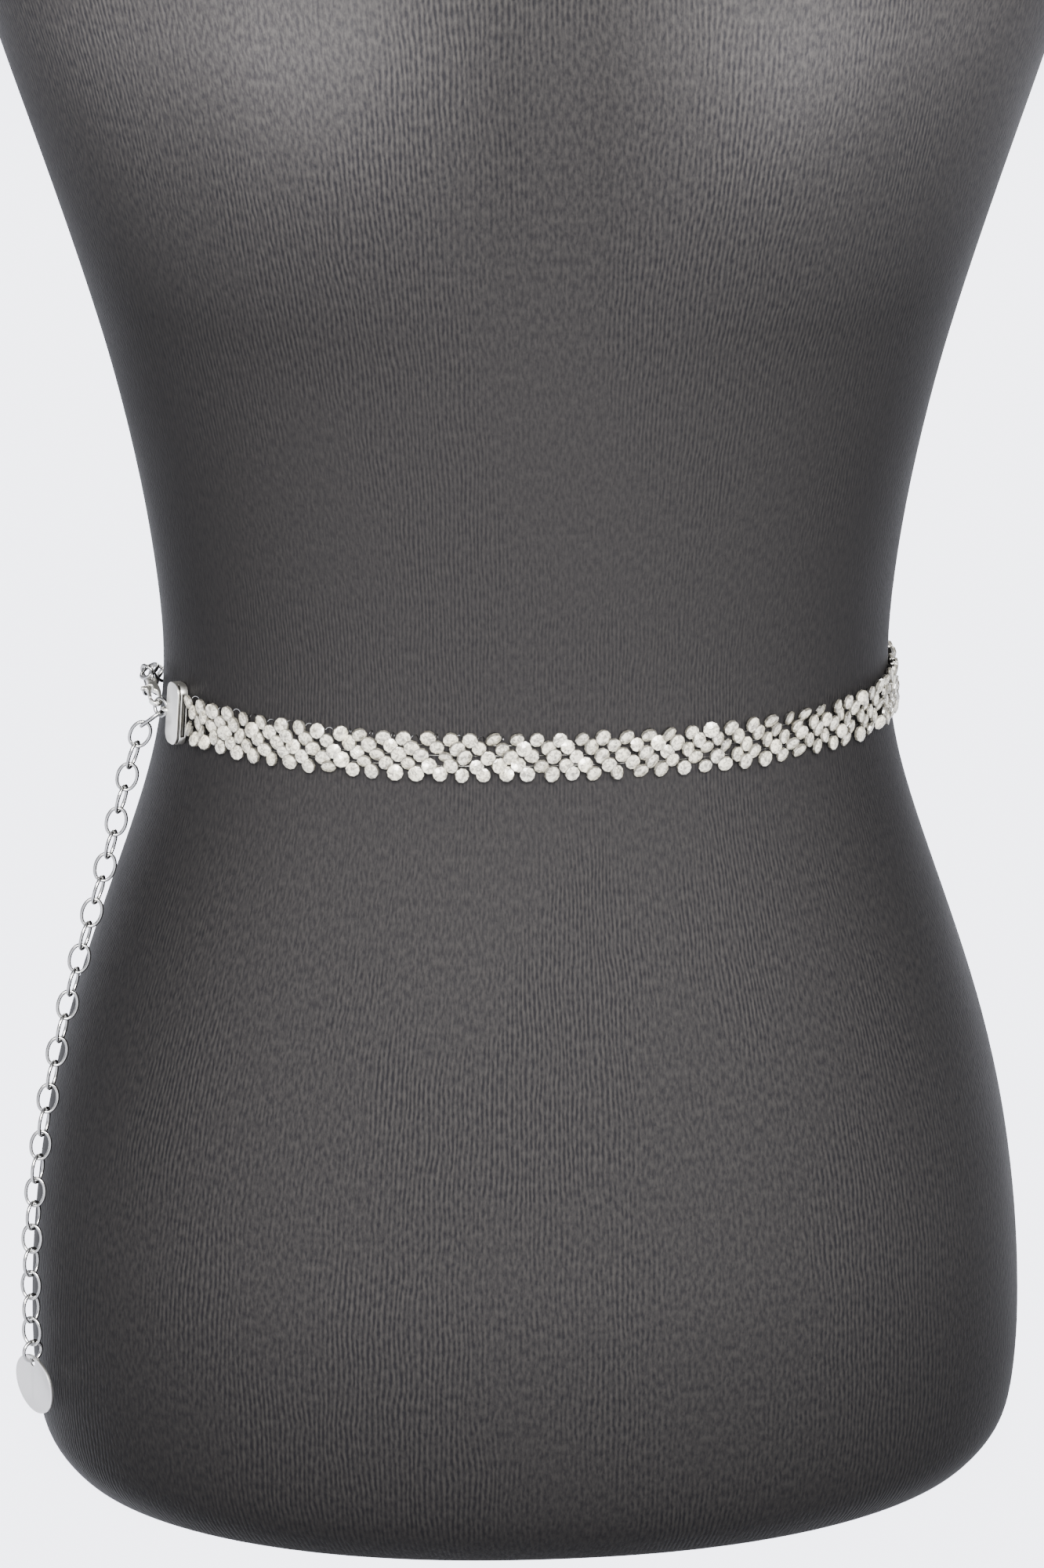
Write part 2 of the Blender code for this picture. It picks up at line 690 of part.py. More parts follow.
def main():
    clear_scene()
    cover = make_material("form_cover", (0.030, 0.030, 0.032), 0.55, 0.0)
    stone = make_material("cup_set_stone", (0.86, 0.86, 0.83), 0.18, 0.25)
    silver = make_material("silver_plate", (0.80, 0.80, 0.79), 0.16, 1.0)
    satin = make_material("satin_silver", (0.70, 0.70, 0.70), 0.38, 1.0)
    build_form(cover)
    build_band(stone)
    from_edge = SEAM + BAR_WIDTH / 2
    left = build_end_bar("end_bar_left", -from_edge, -1, LEFT_RING_SWING, silver)
    right = build_end_bar("end_bar_right", BAND_LENGTH + from_edge, 1, 0.0, silver)
    ring_mesh = wire_mesh(circle(JUMP_RING_RADIUS, RING_STEPS), WIRE)
    add_object("jump_ring_left", ring_mesh, silver, left)
    add_object("jump_ring_right", ring_mesh.copy(), silver, right)
    clasp_tail = build_clasp(left, silver)
    chain_start = right @ Vector((JUMP_RING_RADIUS - WIRE_REACH, 0, 0))
    build_back_chain(chain_start, clasp_tail, silver)
    pivot = build_hanging_chain(left, silver)
    build_disc(pivot, satin)


if __name__ == "__main__":
    main()
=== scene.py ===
"""A rhinestone chain belt on its limbless dress form, dressed over the CAD frame.

Metres, +Z up, in the CAD model's own frame: the form stands on its flat base at the origin
and faces -Y, so +X is the viewer's right. Belt pieces use the belt's own coordinates: along
runs from the band's left end to the viewer's right and on round the back, rise runs up the
form, and lift runs straight out from it.
"""

import json
import logging
import math
import random
from collections.abc import Callable, Iterator, Sequence
from contextlib import contextmanager
from dataclasses import dataclass, field
from enum import Enum

import bmesh
import bpy
import numpy as np
from mathutils import Matrix, Vector

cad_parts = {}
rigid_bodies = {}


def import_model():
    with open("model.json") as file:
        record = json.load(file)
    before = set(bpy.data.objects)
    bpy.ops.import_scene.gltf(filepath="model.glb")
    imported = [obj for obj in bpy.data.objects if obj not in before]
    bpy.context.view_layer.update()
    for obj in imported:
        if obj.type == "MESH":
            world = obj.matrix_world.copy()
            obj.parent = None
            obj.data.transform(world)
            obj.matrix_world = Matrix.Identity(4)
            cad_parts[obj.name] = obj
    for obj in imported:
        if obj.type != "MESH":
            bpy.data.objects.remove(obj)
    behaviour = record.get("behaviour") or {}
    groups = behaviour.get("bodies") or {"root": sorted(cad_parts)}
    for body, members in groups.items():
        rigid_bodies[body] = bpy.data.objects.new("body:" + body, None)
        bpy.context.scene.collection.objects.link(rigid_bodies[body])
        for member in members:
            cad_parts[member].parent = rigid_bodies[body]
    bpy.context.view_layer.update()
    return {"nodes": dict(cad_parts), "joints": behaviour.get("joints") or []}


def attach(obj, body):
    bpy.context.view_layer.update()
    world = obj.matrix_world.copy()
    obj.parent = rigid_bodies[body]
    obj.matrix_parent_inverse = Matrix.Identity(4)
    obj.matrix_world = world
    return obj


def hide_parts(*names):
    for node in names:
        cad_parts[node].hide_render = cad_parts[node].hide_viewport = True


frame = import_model()

MM = 0.001
BAND_LENGTH = 322 * MM
BAR_WIDTH = 9.0 * MM
BAR_MIDDLE = 4.8 * MM
UNIT = (0.0, 1.0)
IN_PLACE = Matrix.Identity(4)
CENTRE = (0.0, 0.0, 0.0)
LOG = logging.getLogger("chain_belt")

Piece = bpy.types.Object
Material = bpy.types.Material
Tree = bpy.types.NodeTree
Node = bpy.types.Node
Socket = bpy.types.NodeSocket
Pair = tuple[float, float]
Triple = tuple[float, float, float]
Colour = Triple
Feeds = dict[str | int, Socket | float | Colour]


class Body(Enum):
    """The CAD body that a piece moves with."""

    BELT = "root"
    TAG = "tag"


class Slot(Enum):
    """The record's material slots, by name."""

    COVER = "form_cover"
    STONE = "cup_set_stone"
    PLATE = "silver_plate"
    SATIN = "satin_silver"


class Pick(Enum):
    """What a selection in edit mode is made of."""

    EDGES = "EDGE"
    FACES = "FACE"


# Hand tools


def newest() -> Piece:
    """The object that the last operator added."""
    return bpy.context.view_layer.objects.active


def put_down() -> None:
    """Deselects every object, so that the next operator acts on nothing old."""
    bpy.ops.object.select_all(action="DESELECT")


def take_up(piece: Piece) -> None:
    """Makes one piece the only selected object and the active one.

    Args:
        piece: The object that the next operators act on.
    """
    put_down()
    piece.select_set(True)
    bpy.context.view_layer.objects.active = piece


@contextmanager
def editing(piece: Piece) -> Iterator[None]:
    """Edit mode on one piece, with all of it selected, and object mode again afterwards.

    Args:
        piece: A mesh or a curve.
    """
    take_up(piece)
    bpy.ops.object.mode_set(mode="EDIT")
    (bpy.ops.curve if piece.type == "CURVE" else bpy.ops.mesh).select_all(action="SELECT")
    yield
    bpy.ops.object.mode_set(mode="OBJECT")


def pick(piece: Piece, test: Callable[..., bool], kind: Pick = Pick.FACES) -> None:
    """Selects parts of a piece that is in edit mode.

    Args:
        piece: The object in edit mode.
        test: Says for each edge or face whether it is picked.
        kind: Whether edges or faces are picked.
    """
    bpy.ops.mesh.select_mode(type=kind.value)
    bpy.ops.mesh.select_all(action="DESELECT")
    shape = bmesh.from_edit_mesh(piece.data)
    shape.normal_update()
    for part in shape.edges if kind is Pick.EDGES else shape.faces:
        if test(part):
            part.select_set(True)
    shape.select_flush_mode()
    bmesh.update_edit_mesh(piece.data)


def inset(*steps: Pair) -> None:
    """Insets the picked faces once for each pair of thickness and depth."""
    for thickness, depth in steps:
        bpy.ops.mesh.inset(thickness=thickness, depth=depth)


def apply_modifier(piece: Piece, kind: str, **values: object) -> None:
    """Adds a modifier to a piece and applies it.

    Args:
        piece: The object that is changed.
        kind: The modifier's type.
        values: The modifier's settings.
    """
    take_up(piece)
    modifier = piece.modifiers.new(kind.lower(), kind)
    for key, value in values.items():
        setattr(modifier, key, value)
    bpy.ops.object.modifier_apply(modifier=modifier.name)


def smooth(piece: Piece, degrees: float = 60) -> Piece:
    """Shades a piece smooth, but for edges sharper than an angle.

    Args:
        piece: The object that is shaded.
        degrees: The angle, by default the one for round wire.

    Returns:
        The same object.
    """
    take_up(piece)
    bpy.ops.object.shade_smooth_by_angle(angle=math.radians(degrees))
    return piece


def soften(piece: Piece, width: float) -> None:
    """Rounds a cast or struck piece's sharp edges and shades it smooth.

    Args:
        piece: The object that is finished.
        width: How wide its edges are rounded.
    """
    sharp = math.radians(50)
    apply_modifier(piece, "BEVEL", width=width, segments=2, limit_method="ANGLE", angle_limit=sharp)
    smooth(piece, 35)


def tidy(piece: Piece) -> None:
    """Merges doubled points and turns every face outwards.

    Args:
        piece: The object that is mended.
    """
    with editing(piece):
        bpy.ops.mesh.remove_doubles(threshold=0.001 * MM)
        bpy.ops.mesh.normals_make_consistent(inside=False)


def to_mesh(curve: Piece) -> Piece:
    """Makes a curve of wire a closed, smooth mesh, and returns it.

    Args:
        curve: The wire's curve, with its thickness.

    Returns:
        The mesh that it became.
    """
    take_up(curve)
    bpy.ops.object.convert(target="MESH")
    tidy(newest())
    return smooth(newest())


def settle(piece: Piece, matrix: Matrix) -> Piece:
    """Moves a piece by a matrix, keeps the place in its mesh and returns it.

    Args:
        piece: The object that is moved.
        matrix: Where it goes.

    Returns:
        The same object.
    """
    piece.data.transform(matrix @ piece.matrix_world)
    piece.matrix_world = IN_PLACE
    return piece


def linked(name: str, data: bpy.types.ID) -> Piece:
    """A new object with the given data, in the scene.

    Args:
        name: The object's name.
        data: Its mesh, curve, camera or light.

    Returns:
        The object.
    """
    piece = bpy.data.objects.new(name, data)
    bpy.context.scene.collection.objects.link(piece)
    return piece


def copy_of(pattern: Piece, name: str, matrix: Matrix = IN_PLACE) -> Piece:
    """A copy of a pattern piece with its own mesh.

    Args:
        pattern: The piece that is copied.
        name: The copy's name.
        matrix: Where the copy goes.

    Returns:
        The copy, with its place in its mesh.
    """
    copy = linked(name, pattern.data.copy())
    copy.data.name = name
    return settle(copy, matrix)


def cad_copy(node: str, name: str) -> Piece:
    """A merged copy of a CAD node, with its triangles paired into quads where they can be.

    Args:
        node: The CAD node's name.
        name: The copy's name.

    Returns:
        The copy.
    """
    copy = copy_of(frame["nodes"][node], name)
    copy.data.materials.clear()
    with editing(copy):
        bpy.ops.mesh.remove_doubles(threshold=0.002 * MM)
        bpy.ops.mesh.tris_convert_to_quads(
            face_threshold=math.radians(60), shape_threshold=math.radians(120)
        )
        bpy.ops.mesh.dissolve_limited(angle_limit=math.radians(0.05))
    return copy


def join(pieces: Sequence[Piece], name: str) -> Piece:
    """One object from several.

    Args:
        pieces: The objects, which become one.
        name: The name of the result.

    Returns:
        The joined object.
    """
    put_down()
    for piece in pieces:
        piece.select_set(True)
    bpy.context.view_layer.objects.active = pieces[0]
    bpy.ops.object.join()
    pieces[0].name = pieces[0].data.name = name
    return pieces[0]


def discard(*pieces: Piece) -> None:
    """Removes patterns or cutters that aren't part of the object."""
    for piece in pieces:
        bpy.data.objects.remove(piece, do_unlink=True)


def hand_over(
    piece: Piece, material: Material, nodes: Sequence[str] = (), body: Body = Body.BELT
) -> None:
    """Dresses a finished piece and ties it to the CAD frame.

    Args:
        piece: The finished object.
        material: Its finish.
        nodes: The CAD nodes that it stands for.
        body: The CAD body that it moves with.
    """
    piece.data.materials.clear()
    piece.data.materials.append(material)
    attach(piece, body.value)
    if nodes:
        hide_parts(*nodes)
    LOG.info("%s: %d faces", piece.name, len(piece.data.polygons))


# Frames and measures


def points_of(piece: Piece) -> np.ndarray:
    """The points of a piece's mesh, one to a row."""
    return np.array([point.co for point in piece.data.vertices], float)


def axes(x_axis: Vector, z_axis: Vector, place: Vector) -> Matrix:
    """A right-handed frame.

    Args:
        x_axis: Its X direction.
        z_axis: A direction near its Z.
        place: Its origin.

    Returns:
        The frame as a matrix.
    """
    x_axis = x_axis.normalized()
    z_axis = (z_axis - x_axis * z_axis.dot(x_axis)).normalized()
    turn = Matrix((x_axis, z_axis.cross(x_axis), z_axis)).transposed()
    return Matrix.Translation(place) @ turn.to_4x4()


def measured_frame(node: str) -> Matrix:
    """The frame of a CAD piece.

    Args:
        node: The CAD node's name.

    Returns:
        The frame: X along its length, Y across it, Z out of its plane.
    """
    points = np.unique(np.round(points_of(frame["nodes"][node]), 6), axis=0)
    middle = points.mean(0)
    vectors = np.linalg.eigh(np.cov((points - middle).T))[1]
    return axes(Vector(vectors[:, 2]), Vector(vectors[:, 0]), Vector(middle))


@dataclass(frozen=True)
class Section:
    """A level section of the dress form."""

    height: float
    half_width: float
    front: float
    back: float
    squareness: float


@dataclass
class BeltLine:
    """The line that the belt takes round the form's waist."""

    height: float = 0.2735
    start: float = math.radians(157)
    walk_lift: float = 2 * MM
    steps: int = 720
    angle_step: float = 0.01
    height_step: float = 0.5 * MM
    sections: tuple[Section, ...] = (
        Section(0.220, 0.1347, 0.1010, 0.0970, 2.22),
        Section(0.245, 0.1265, 0.0960, 0.0900, 2.24),
        Section(0.266, 0.1224, 0.0935, 0.0860, 2.24),
        Section(0.285, 0.1211, 0.0930, 0.0840, 2.24),
        Section(0.310, 0.1226, 0.0945, 0.0840, 2.24),
    )
    angles: list[float] = field(init=False, default_factory=list)
    lengths: list[float] = field(init=False, default_factory=list)

    def __post_init__(self) -> None:
        """Walks once round the form at belt height."""
        last = None
        for step in range(self.steps + 1):
            angle = self.start - math.tau * step / self.steps
            here = self.surface(angle, self.height) + self.outward(angle, self.height) * self.walk_lift
            self.lengths.append(self.lengths[-1] + (here - last).length if last else 0.0)
            self.angles.append(angle)
            last = here

    @property
    def round(self) -> float:
        """The length once round."""
        return self.lengths[-1]

    def section(self, height: float) -> Section:
        """The form's section at any height near the waist.

        Args:
            height: Metres above the base.

        Returns:
            The section, on smooth curves through the table's rows.
        """
        rows = self.sections
        low = max(i for i in range(len(rows) - 1) if rows[i].height <= height)
        span = rows[low + 1].height - rows[low].height
        part = (height - rows[low].height) / span
        values = []
        for name in ("half_width", "front", "back", "squareness"):
            leave, arrive = self.slope(low, name) * span, self.slope(low + 1, name) * span
            values.append(
                (1 + 2 * part) * (1 - part) ** 2 * getattr(rows[low], name)
                + part * (1 - part) ** 2 * leave
                + part**2 * (3 - 2 * part) * getattr(rows[low + 1], name)
                + part**2 * (part - 1) * arrive
            )
        return Section(height, *values)

    def slope(self, row: int, name: str) -> float:
        """How fast a measure changes with height at one row of the table.

        Args:
            row: The row's number.
            name: The measure's name.

        Returns:
            The change in each metre.
        """
        before = self.sections[max(row - 1, 0)]
        after = self.sections[min(row + 1, len(self.sections) - 1)]
        return (getattr(after, name) - getattr(before, name)) / (after.height - before.height)

    def surface(self, angle: float, height: float) -> Vector:
        """A point of the form.

        Args:
            angle: The way round: 0 is +X and 90 degrees is the front.
            height: Metres above the base.

        Returns:
            The point.
        """
        section = self.section(height)
        across, ahead = math.cos(angle), math.sin(angle)
        power = 2 / section.squareness
        depth = section.front if ahead > 0 else section.back
        x = math.copysign(abs(across) ** power, across) * section.half_width
        y = -math.copysign(abs(ahead) ** power, ahead) * depth
        return Vector((x, y, height))

    def outward(self, angle: float, height: float) -> Vector:
        """The direction straight out of the form's surface.

        Args:
            angle: The way round.
            height: Metres above the base.

        Returns:
            The direction, one metre long.
        """
        near, far = angle - self.angle_step, angle + self.angle_step
        low, high = height - self.height_step, height + self.height_step
        turn = self.surface(near, height) - self.surface(far, height)
        climb = self.surface(angle, high) - self.surface(angle, low)
        return turn.cross(climb).normalized()

    def angle_at(self, along: float) -> float:
        """The angle round the form at a distance along the belt, before its start too."""
        turns, rest = divmod(along, self.round)
        return float(np.interp(rest, self.lengths, self.angles)) - math.tau * turns

    def seat(self, along: float, rise: float, lift: float) -> Vector:
        """A point given in the belt's coordinates."""
        angle, height = self.angle_at(along), self.height + rise
        return self.surface(angle, height) + self.outward(angle, height) * lift

    def matrix(self, along: float, rise: float, lift: float) -> Matrix:
        """A frame on the belt: X along it, Y up the form, Z straight out.

        Args:
            along: The distance along the belt.
            rise: The distance up the form.
            lift: The distance off the form.

        Returns:
            The frame as a matrix.
        """
        out = self.outward(self.angle_at(along), self.height + rise)
        ahead = self.seat(along + MM, rise, 0) - self.seat(along - MM, rise, 0)
        return axes(ahead, out, self.seat(along, rise, lift))


# Nodes of the finishes


def feed(tree: Tree, node: Node, feeds: Feeds) -> None:
    """Sets a node's inputs.

    Args:
        tree: The tree that it is in.
        node: The node.
        feeds: By each input's name or number, the socket linked to it, its number or its colour.
    """
    for name, value in feeds.items():
        socket = node.inputs[name]
        if isinstance(value, Socket):
            tree.links.new(value, socket)
        else:
            socket.default_value = (*value, 1.0) if socket.type == "RGBA" else value


def add_node(tree: Tree, kind: str, label: str, feeds: Feeds, **values: object) -> Node:
    """A labelled node in a node tree.

    Args:
        tree: The tree that it goes into.
        kind: The node's type.
        label: What it is for.
        feeds: What its inputs are set to, as for feed.
        values: Settings of the node.

    Returns:
        The new node.
    """
    node = tree.nodes.new(f"ShaderNode{kind}")
    node.label = label
    for key, value in values.items():
        setattr(node, key, value)
    feed(tree, node, feeds)
    return node


def maths(tree: Tree, operation: str, label: str, *values: Socket | float) -> Socket:
    """The result of a Math node on numbers or sockets."""
    return add_node(tree, "Math", label, dict(enumerate(values)), operation=operation).outputs[0]


def stretched(tree: Tree, label: str, place: Socket, scale: Socket | Triple) -> Socket:
    """A place multiplied along each axis."""
    feeds = {0: place, 1: scale}
    return add_node(tree, "VectorMath", label, feeds, operation="MULTIPLY").outputs[0]


def blend(
    tree: Tree, label: str, share: Socket, first: Colour | Socket, second: Colour | Socket
) -> Socket:
    """A colour between two, by a share that changes over the surface: 0 gives the first."""
    feeds = {"Factor": share, 6: first, 7: second}
    return add_node(tree, "Mix", label, feeds, data_type="RGBA").outputs[2]


def spread(
    tree: Tree, label: str, value: Socket, span: Pair, ends: Pair = UNIT
) -> Socket:
    """A value stretched from one range to another, and held inside it."""
    limits = zip(("From Min", "From Max", "To Min", "To Max"), (*span, *ends))
    return add_node(tree, "MapRange", label, {"Value": value, **dict(limits)}).outputs["Result"]


def noise(
    tree: Tree,
    label: str,
    place: Socket,
    scale: float | Socket,
    detail: float = 2.0,
    distortion: float = 0.0,
    space: str = "3D",
) -> Socket:
    """The grey of a noise texture.

    Args:
        tree: The tree that it goes into.
        label: What it is for.
        place: Where it is read.
        scale: How fine it is.
        detail: How many finer layers it has.
        distortion: How far it is pulled about.
        space: Whether it is read in 2D or 3D.

    Returns:
        Its output socket.
    """
    feeds = {"Vector": place, "Scale": scale, "Detail": detail, "Distortion": distortion}
    return add_node(tree, "TexNoise", label, feeds, noise_dimensions=space).outputs["Fac"]


def relief(tree: Tree, label: str, height: Socket, strength: float, distance: float) -> Socket:
    """The normal of a surface with a fine relief."""
    feeds = {"Height": height, "Strength": strength, "Distance": distance}
    return add_node(tree, "Bump", label, feeds).outputs["Normal"]


def new_material(name: str) -> tuple[Material, Tree, Node, Socket]:
    """A new material, its node tree, its Principled shader and the place on the piece.

    Args:
        name: The material's name.

    Returns:
        The material, its node tree, its Principled shader and the socket with the place.
    """
    material = bpy.data.materials.new(name)
    material.use_nodes = True
    tree = material.node_tree
    place = add_node(tree, "TexCoord", "place", {}).outputs["Object"]
    return material, tree, tree.nodes["Principled BSDF"], place


def new_group(
    name: str, place: str, numbers: Sequence[str], results: Sequence[str]
) -> tuple[Tree, Node, Node]:
    """An empty shader node group with its input and output nodes.

    Args:
        name: The group's name.
        place: The name of its first input, a vector.
        numbers: The names of its other inputs.
        results: The names of its outputs, all numbers.

    Returns:
        The group, its input node and its output node.
    """
    group = bpy.data.node_groups.new(name, "ShaderNodeTree")
    group.interface.new_socket(place, in_out="INPUT", socket_type="NodeSocketVector")
    for way, titles in (("INPUT", numbers), ("OUTPUT", results)):
        for title in titles:
            group.interface.new_socket(title, in_out=way, socket_type="NodeSocketFloat")
    return group, group.nodes.new("NodeGroupInput"), group.nodes.new("NodeGroupOutput")


def handling_group() -> Tree:
    """Faint scratches and clouded patches, shared by every metal finish.

    Returns:
        The group.
    """
    scales = ("Scratch Scale", "Cloud Scale")
    group, given, out = new_group("handling", "Place", scales, ("Scratches", "Clouds"))
    place, fine, broad = (given.outputs[name] for name in ("Place", *scales))
    scratch = noise(group, "crossing scratches", place, fine, 4.0, 1.5)
    cloud = noise(group, "clouded patches", place, broad)
    marks = {
        "Scratches": spread(group, "fine marks", scratch, (0.35, 0.65)),
        "Clouds": spread(group, "broad patches", cloud, (0.3, 0.7)),
    }
    feed(group, out, marks)
    return group


def knit_group() -> Tree:
    """Uneven knitted ribs and their stitches, over a map of share round and height.

    Returns:
        The group.
    """
    group, given, out = new_group("rib_knit", "Map", ("Ribs", "Rows"), ("Height",))
    counts = {0: given.outputs["Ribs"], 1: given.outputs["Rows"]}
    counts = add_node(group, "CombineXYZ", "ribs and rows in all", counts).outputs[0]
    cells = stretched(group, "ribs round and rows up", given.outputs["Map"], counts)
    across = add_node(group, "SeparateXYZ", "ribs round", {0: cells}).outputs[0]
    wander = stretched(group, "ribs wander", cells, (0.10, 0.035, 0.0))
    wander = noise(group, "ribs wander", wander, 1.0, 3.0, space="2D")
    phase = maths(group, "MULTIPLY_ADD", "uneven ribs", wander, 2.4, across)
    rib = maths(group, "SINE", "rib wave", maths(group, "MULTIPLY", "rib turns", phase, math.tau))
    rib = maths(group, "MULTIPLY", "rib height", rib, 0.5)
    loops = stretched(group, "loops of yarn", cells, (1.5, 0.42, 0.0))
    loops = noise(group, "loops of yarn", loops, 1.0, space="2D")
    loops = spread(group, "loop height", loops, (0.3, 0.7))
    strength = stretched(group, "rib strength", cells, (0.03, 0.012, 0.0))
    strength = noise(group, "rib strength", strength, 1.0, 1.0, space="2D")
    strength = spread(group, "how deep the ribs are", strength, (0.38, 0.62), (0.10, 0.85))
    deep = maths(group, "MULTIPLY", "ribs that show", rib, strength)
    feed(group, out, {"Height": maths(group, "MULTIPLY_ADD", "knit height", loops, 0.75, deep)})
    return group


# Finishes


@dataclass(frozen=True)
class Finish:
    """What every finish has: its name and its surface in plain numbers."""

    name: str
    colour: Colour
    shade: Colour
    roughness: Pair


@dataclass(frozen=True)
class MetalFinish(Finish):
    """Plated metal with faint scratches and clouds."""

    scratch_scale: float = 900.0
    cloud_scale: float = 120.0
    bump: float = 0.03
    scratch_depth: float = 0.05 * MM
    groove_shade: Colour = (0.13, 0.125, 0.115)

    def build(self, handling: Tree) -> Material:
        """The metal's material.

        Args:
            handling: The shared group of scratches and clouds.

        Returns:
            The material.
        """
        material, tree, shader, place = new_material(self.name)
        feeds = {"Place": place, "Scratch Scale": self.scratch_scale, "Cloud Scale": self.cloud_scale}
        marks = add_node(tree, "Group", "handling marks", feeds, node_tree=handling).outputs
        colour = blend(tree, "tarnish", marks["Clouds"], self.colour, self.shade)
        # Painted shade: the groove and slot marked on the end bars are darkened in colour.
        inside = add_node(tree, "Attribute", "inside a groove", {}, attribute_name="groove_shade")
        surface = {
            "Metallic": 1.0,
            "Base Color": blend(tree, "painted shade in the groove", inside.outputs["Fac"], colour, self.groove_shade),
            "Roughness": spread(tree, "roughness", marks["Scratches"], UNIT, self.roughness),
            "Normal": relief(tree, "scratches", marks["Scratches"], self.bump, self.scratch_depth),
        }
        feed(tree, shader, surface)
        return material


@dataclass(frozen=True)
class KnitFinish(Finish):
    """The form's ribbed knitted cover."""

    ribs: float = 560.0
    rows: float = 900.0
    fuzz_scale: float = 1400.0
    patch_scale: float = 9.0
    waist: float = 0.33
    mean_height: float = 0.375
    mean_light: float = 0.28
    fuzz_light: float = 0.3
    fuzz_height: float = 0.25
    bump: float = 0.5
    yarn_depth: float = 0.3 * MM

    def build(self, knit: Tree) -> Material:
        """The cover's material.

        Args:
            knit: The shared group of ribs and stitches.

        Returns:
            The material.
        """
        material, tree, shader, place = new_material(self.name)
        uv = add_node(tree, "UVMap", "knit map", {}, uv_map="knit").outputs["UV"]
        feeds = {"Map": uv, "Ribs": self.ribs, "Rows": self.rows}
        height = add_node(tree, "Group", "rib knit", feeds, node_tree=knit).outputs["Height"]
        fuzz = noise(tree, "yarn fuzz", place, self.fuzz_scale, 3.0)
        patches = noise(tree, "worn patches", place, self.patch_scale)
        level = add_node(tree, "SeparateXYZ", "place on the form", {0: place})
        # Painted light and shade from the knit's relief: raised yarn and fuzz are lighter and the hollows
        # darker, more so off the waist.
        above = maths(tree, "SUBTRACT", "height from the waist", level.outputs["Z"], self.waist)
        above = maths(tree, "ABSOLUTE", "height above or below it", above)
        contrast = spread(tree, "ribs that show more off the waist", above, (0.05, 0.13), (0.45, 0.72))
        lit = maths(tree, "SUBTRACT", "yarn above the mean", height, self.mean_height)
        lit = maths(tree, "MULTIPLY_ADD", "lit yarn", lit, contrast, self.mean_light)
        lit = maths(tree, "MULTIPLY_ADD", "with fuzz", fuzz, self.fuzz_light, lit)
        yarn = blend(tree, "yarn colour", lit, self.shade, self.colour)
        # The yarn's colour is multiplied by painted light and shade, set by place on the form and by slant.
        feeds = {"Color": yarn, "Value": self.stretch(tree, level)}
        stretch = add_node(tree, "HueSaturation", "painted light and shade on the yarn", feeds)
        height = maths(tree, "MULTIPLY_ADD", "knit and fuzz", fuzz, self.fuzz_height, height)
        surface = {
            "Specular IOR Level": 0.03,
            "Base Color": stretch.outputs["Color"],
            "Roughness": spread(tree, "roughness", patches, (0.3, 0.7), self.roughness),
            "Normal": relief(tree, "knit relief", height, self.bump, self.yarn_depth),
        }
        feed(tree, shader, surface)
        return material

    # Painted light and shade: lightens the yarn over the chest and bust, darkens it towards the base and at
    # a slant.
    def stretch(self, tree: Tree, level: Node) -> Socket:
        """How pale the cloth is, in painted light and shade: a painted highlight over the chest and bust,
        painted shade towards the base and at a slant.

        Args:
            tree: The material's nodes.
            level: The node with the place on the form.

        Returns:
            The socket that multiplies the yarn's brightness.
        """
        rise, side = level.outputs["Z"], level.outputs["X"]
        painted_base_shade = spread(tree, "painted shade towards the base", rise, (0.0, 0.10), (0.62, 1.12))
        chest = spread(tree, "painted highlight over the chest", rise, (0.41, 0.50))
        above = spread(tree, "painted highlight fading at the shoulders", rise, (0.50, 0.60), (1.0, 0.2))
        chest = maths(tree, "MULTIPLY", "painted chest highlight", chest, above)
        across = maths(tree, "ABSOLUTE", "distance from the middle", side)
        bust = spread(tree, "painted highlight stronger over the bust", across, (0.015, 0.09), (0.05, 1.5))
        painted_light_level = maths(tree, "MULTIPLY_ADD", "stretch", chest, bust, 1.0)
        painted_light_level = maths(tree, "MULTIPLY", "painted light over the whole form", painted_light_level, painted_base_shade)
        slant = add_node(tree, "LayerWeight", "facing, for painted shade at a slant", {})
        dark = spread(tree, "darker at a slant", slant.outputs["Facing"], (0.08, 0.5), (1.0, 0.62))
        return maths(tree, "MULTIPLY", "brightness", painted_light_level, dark)


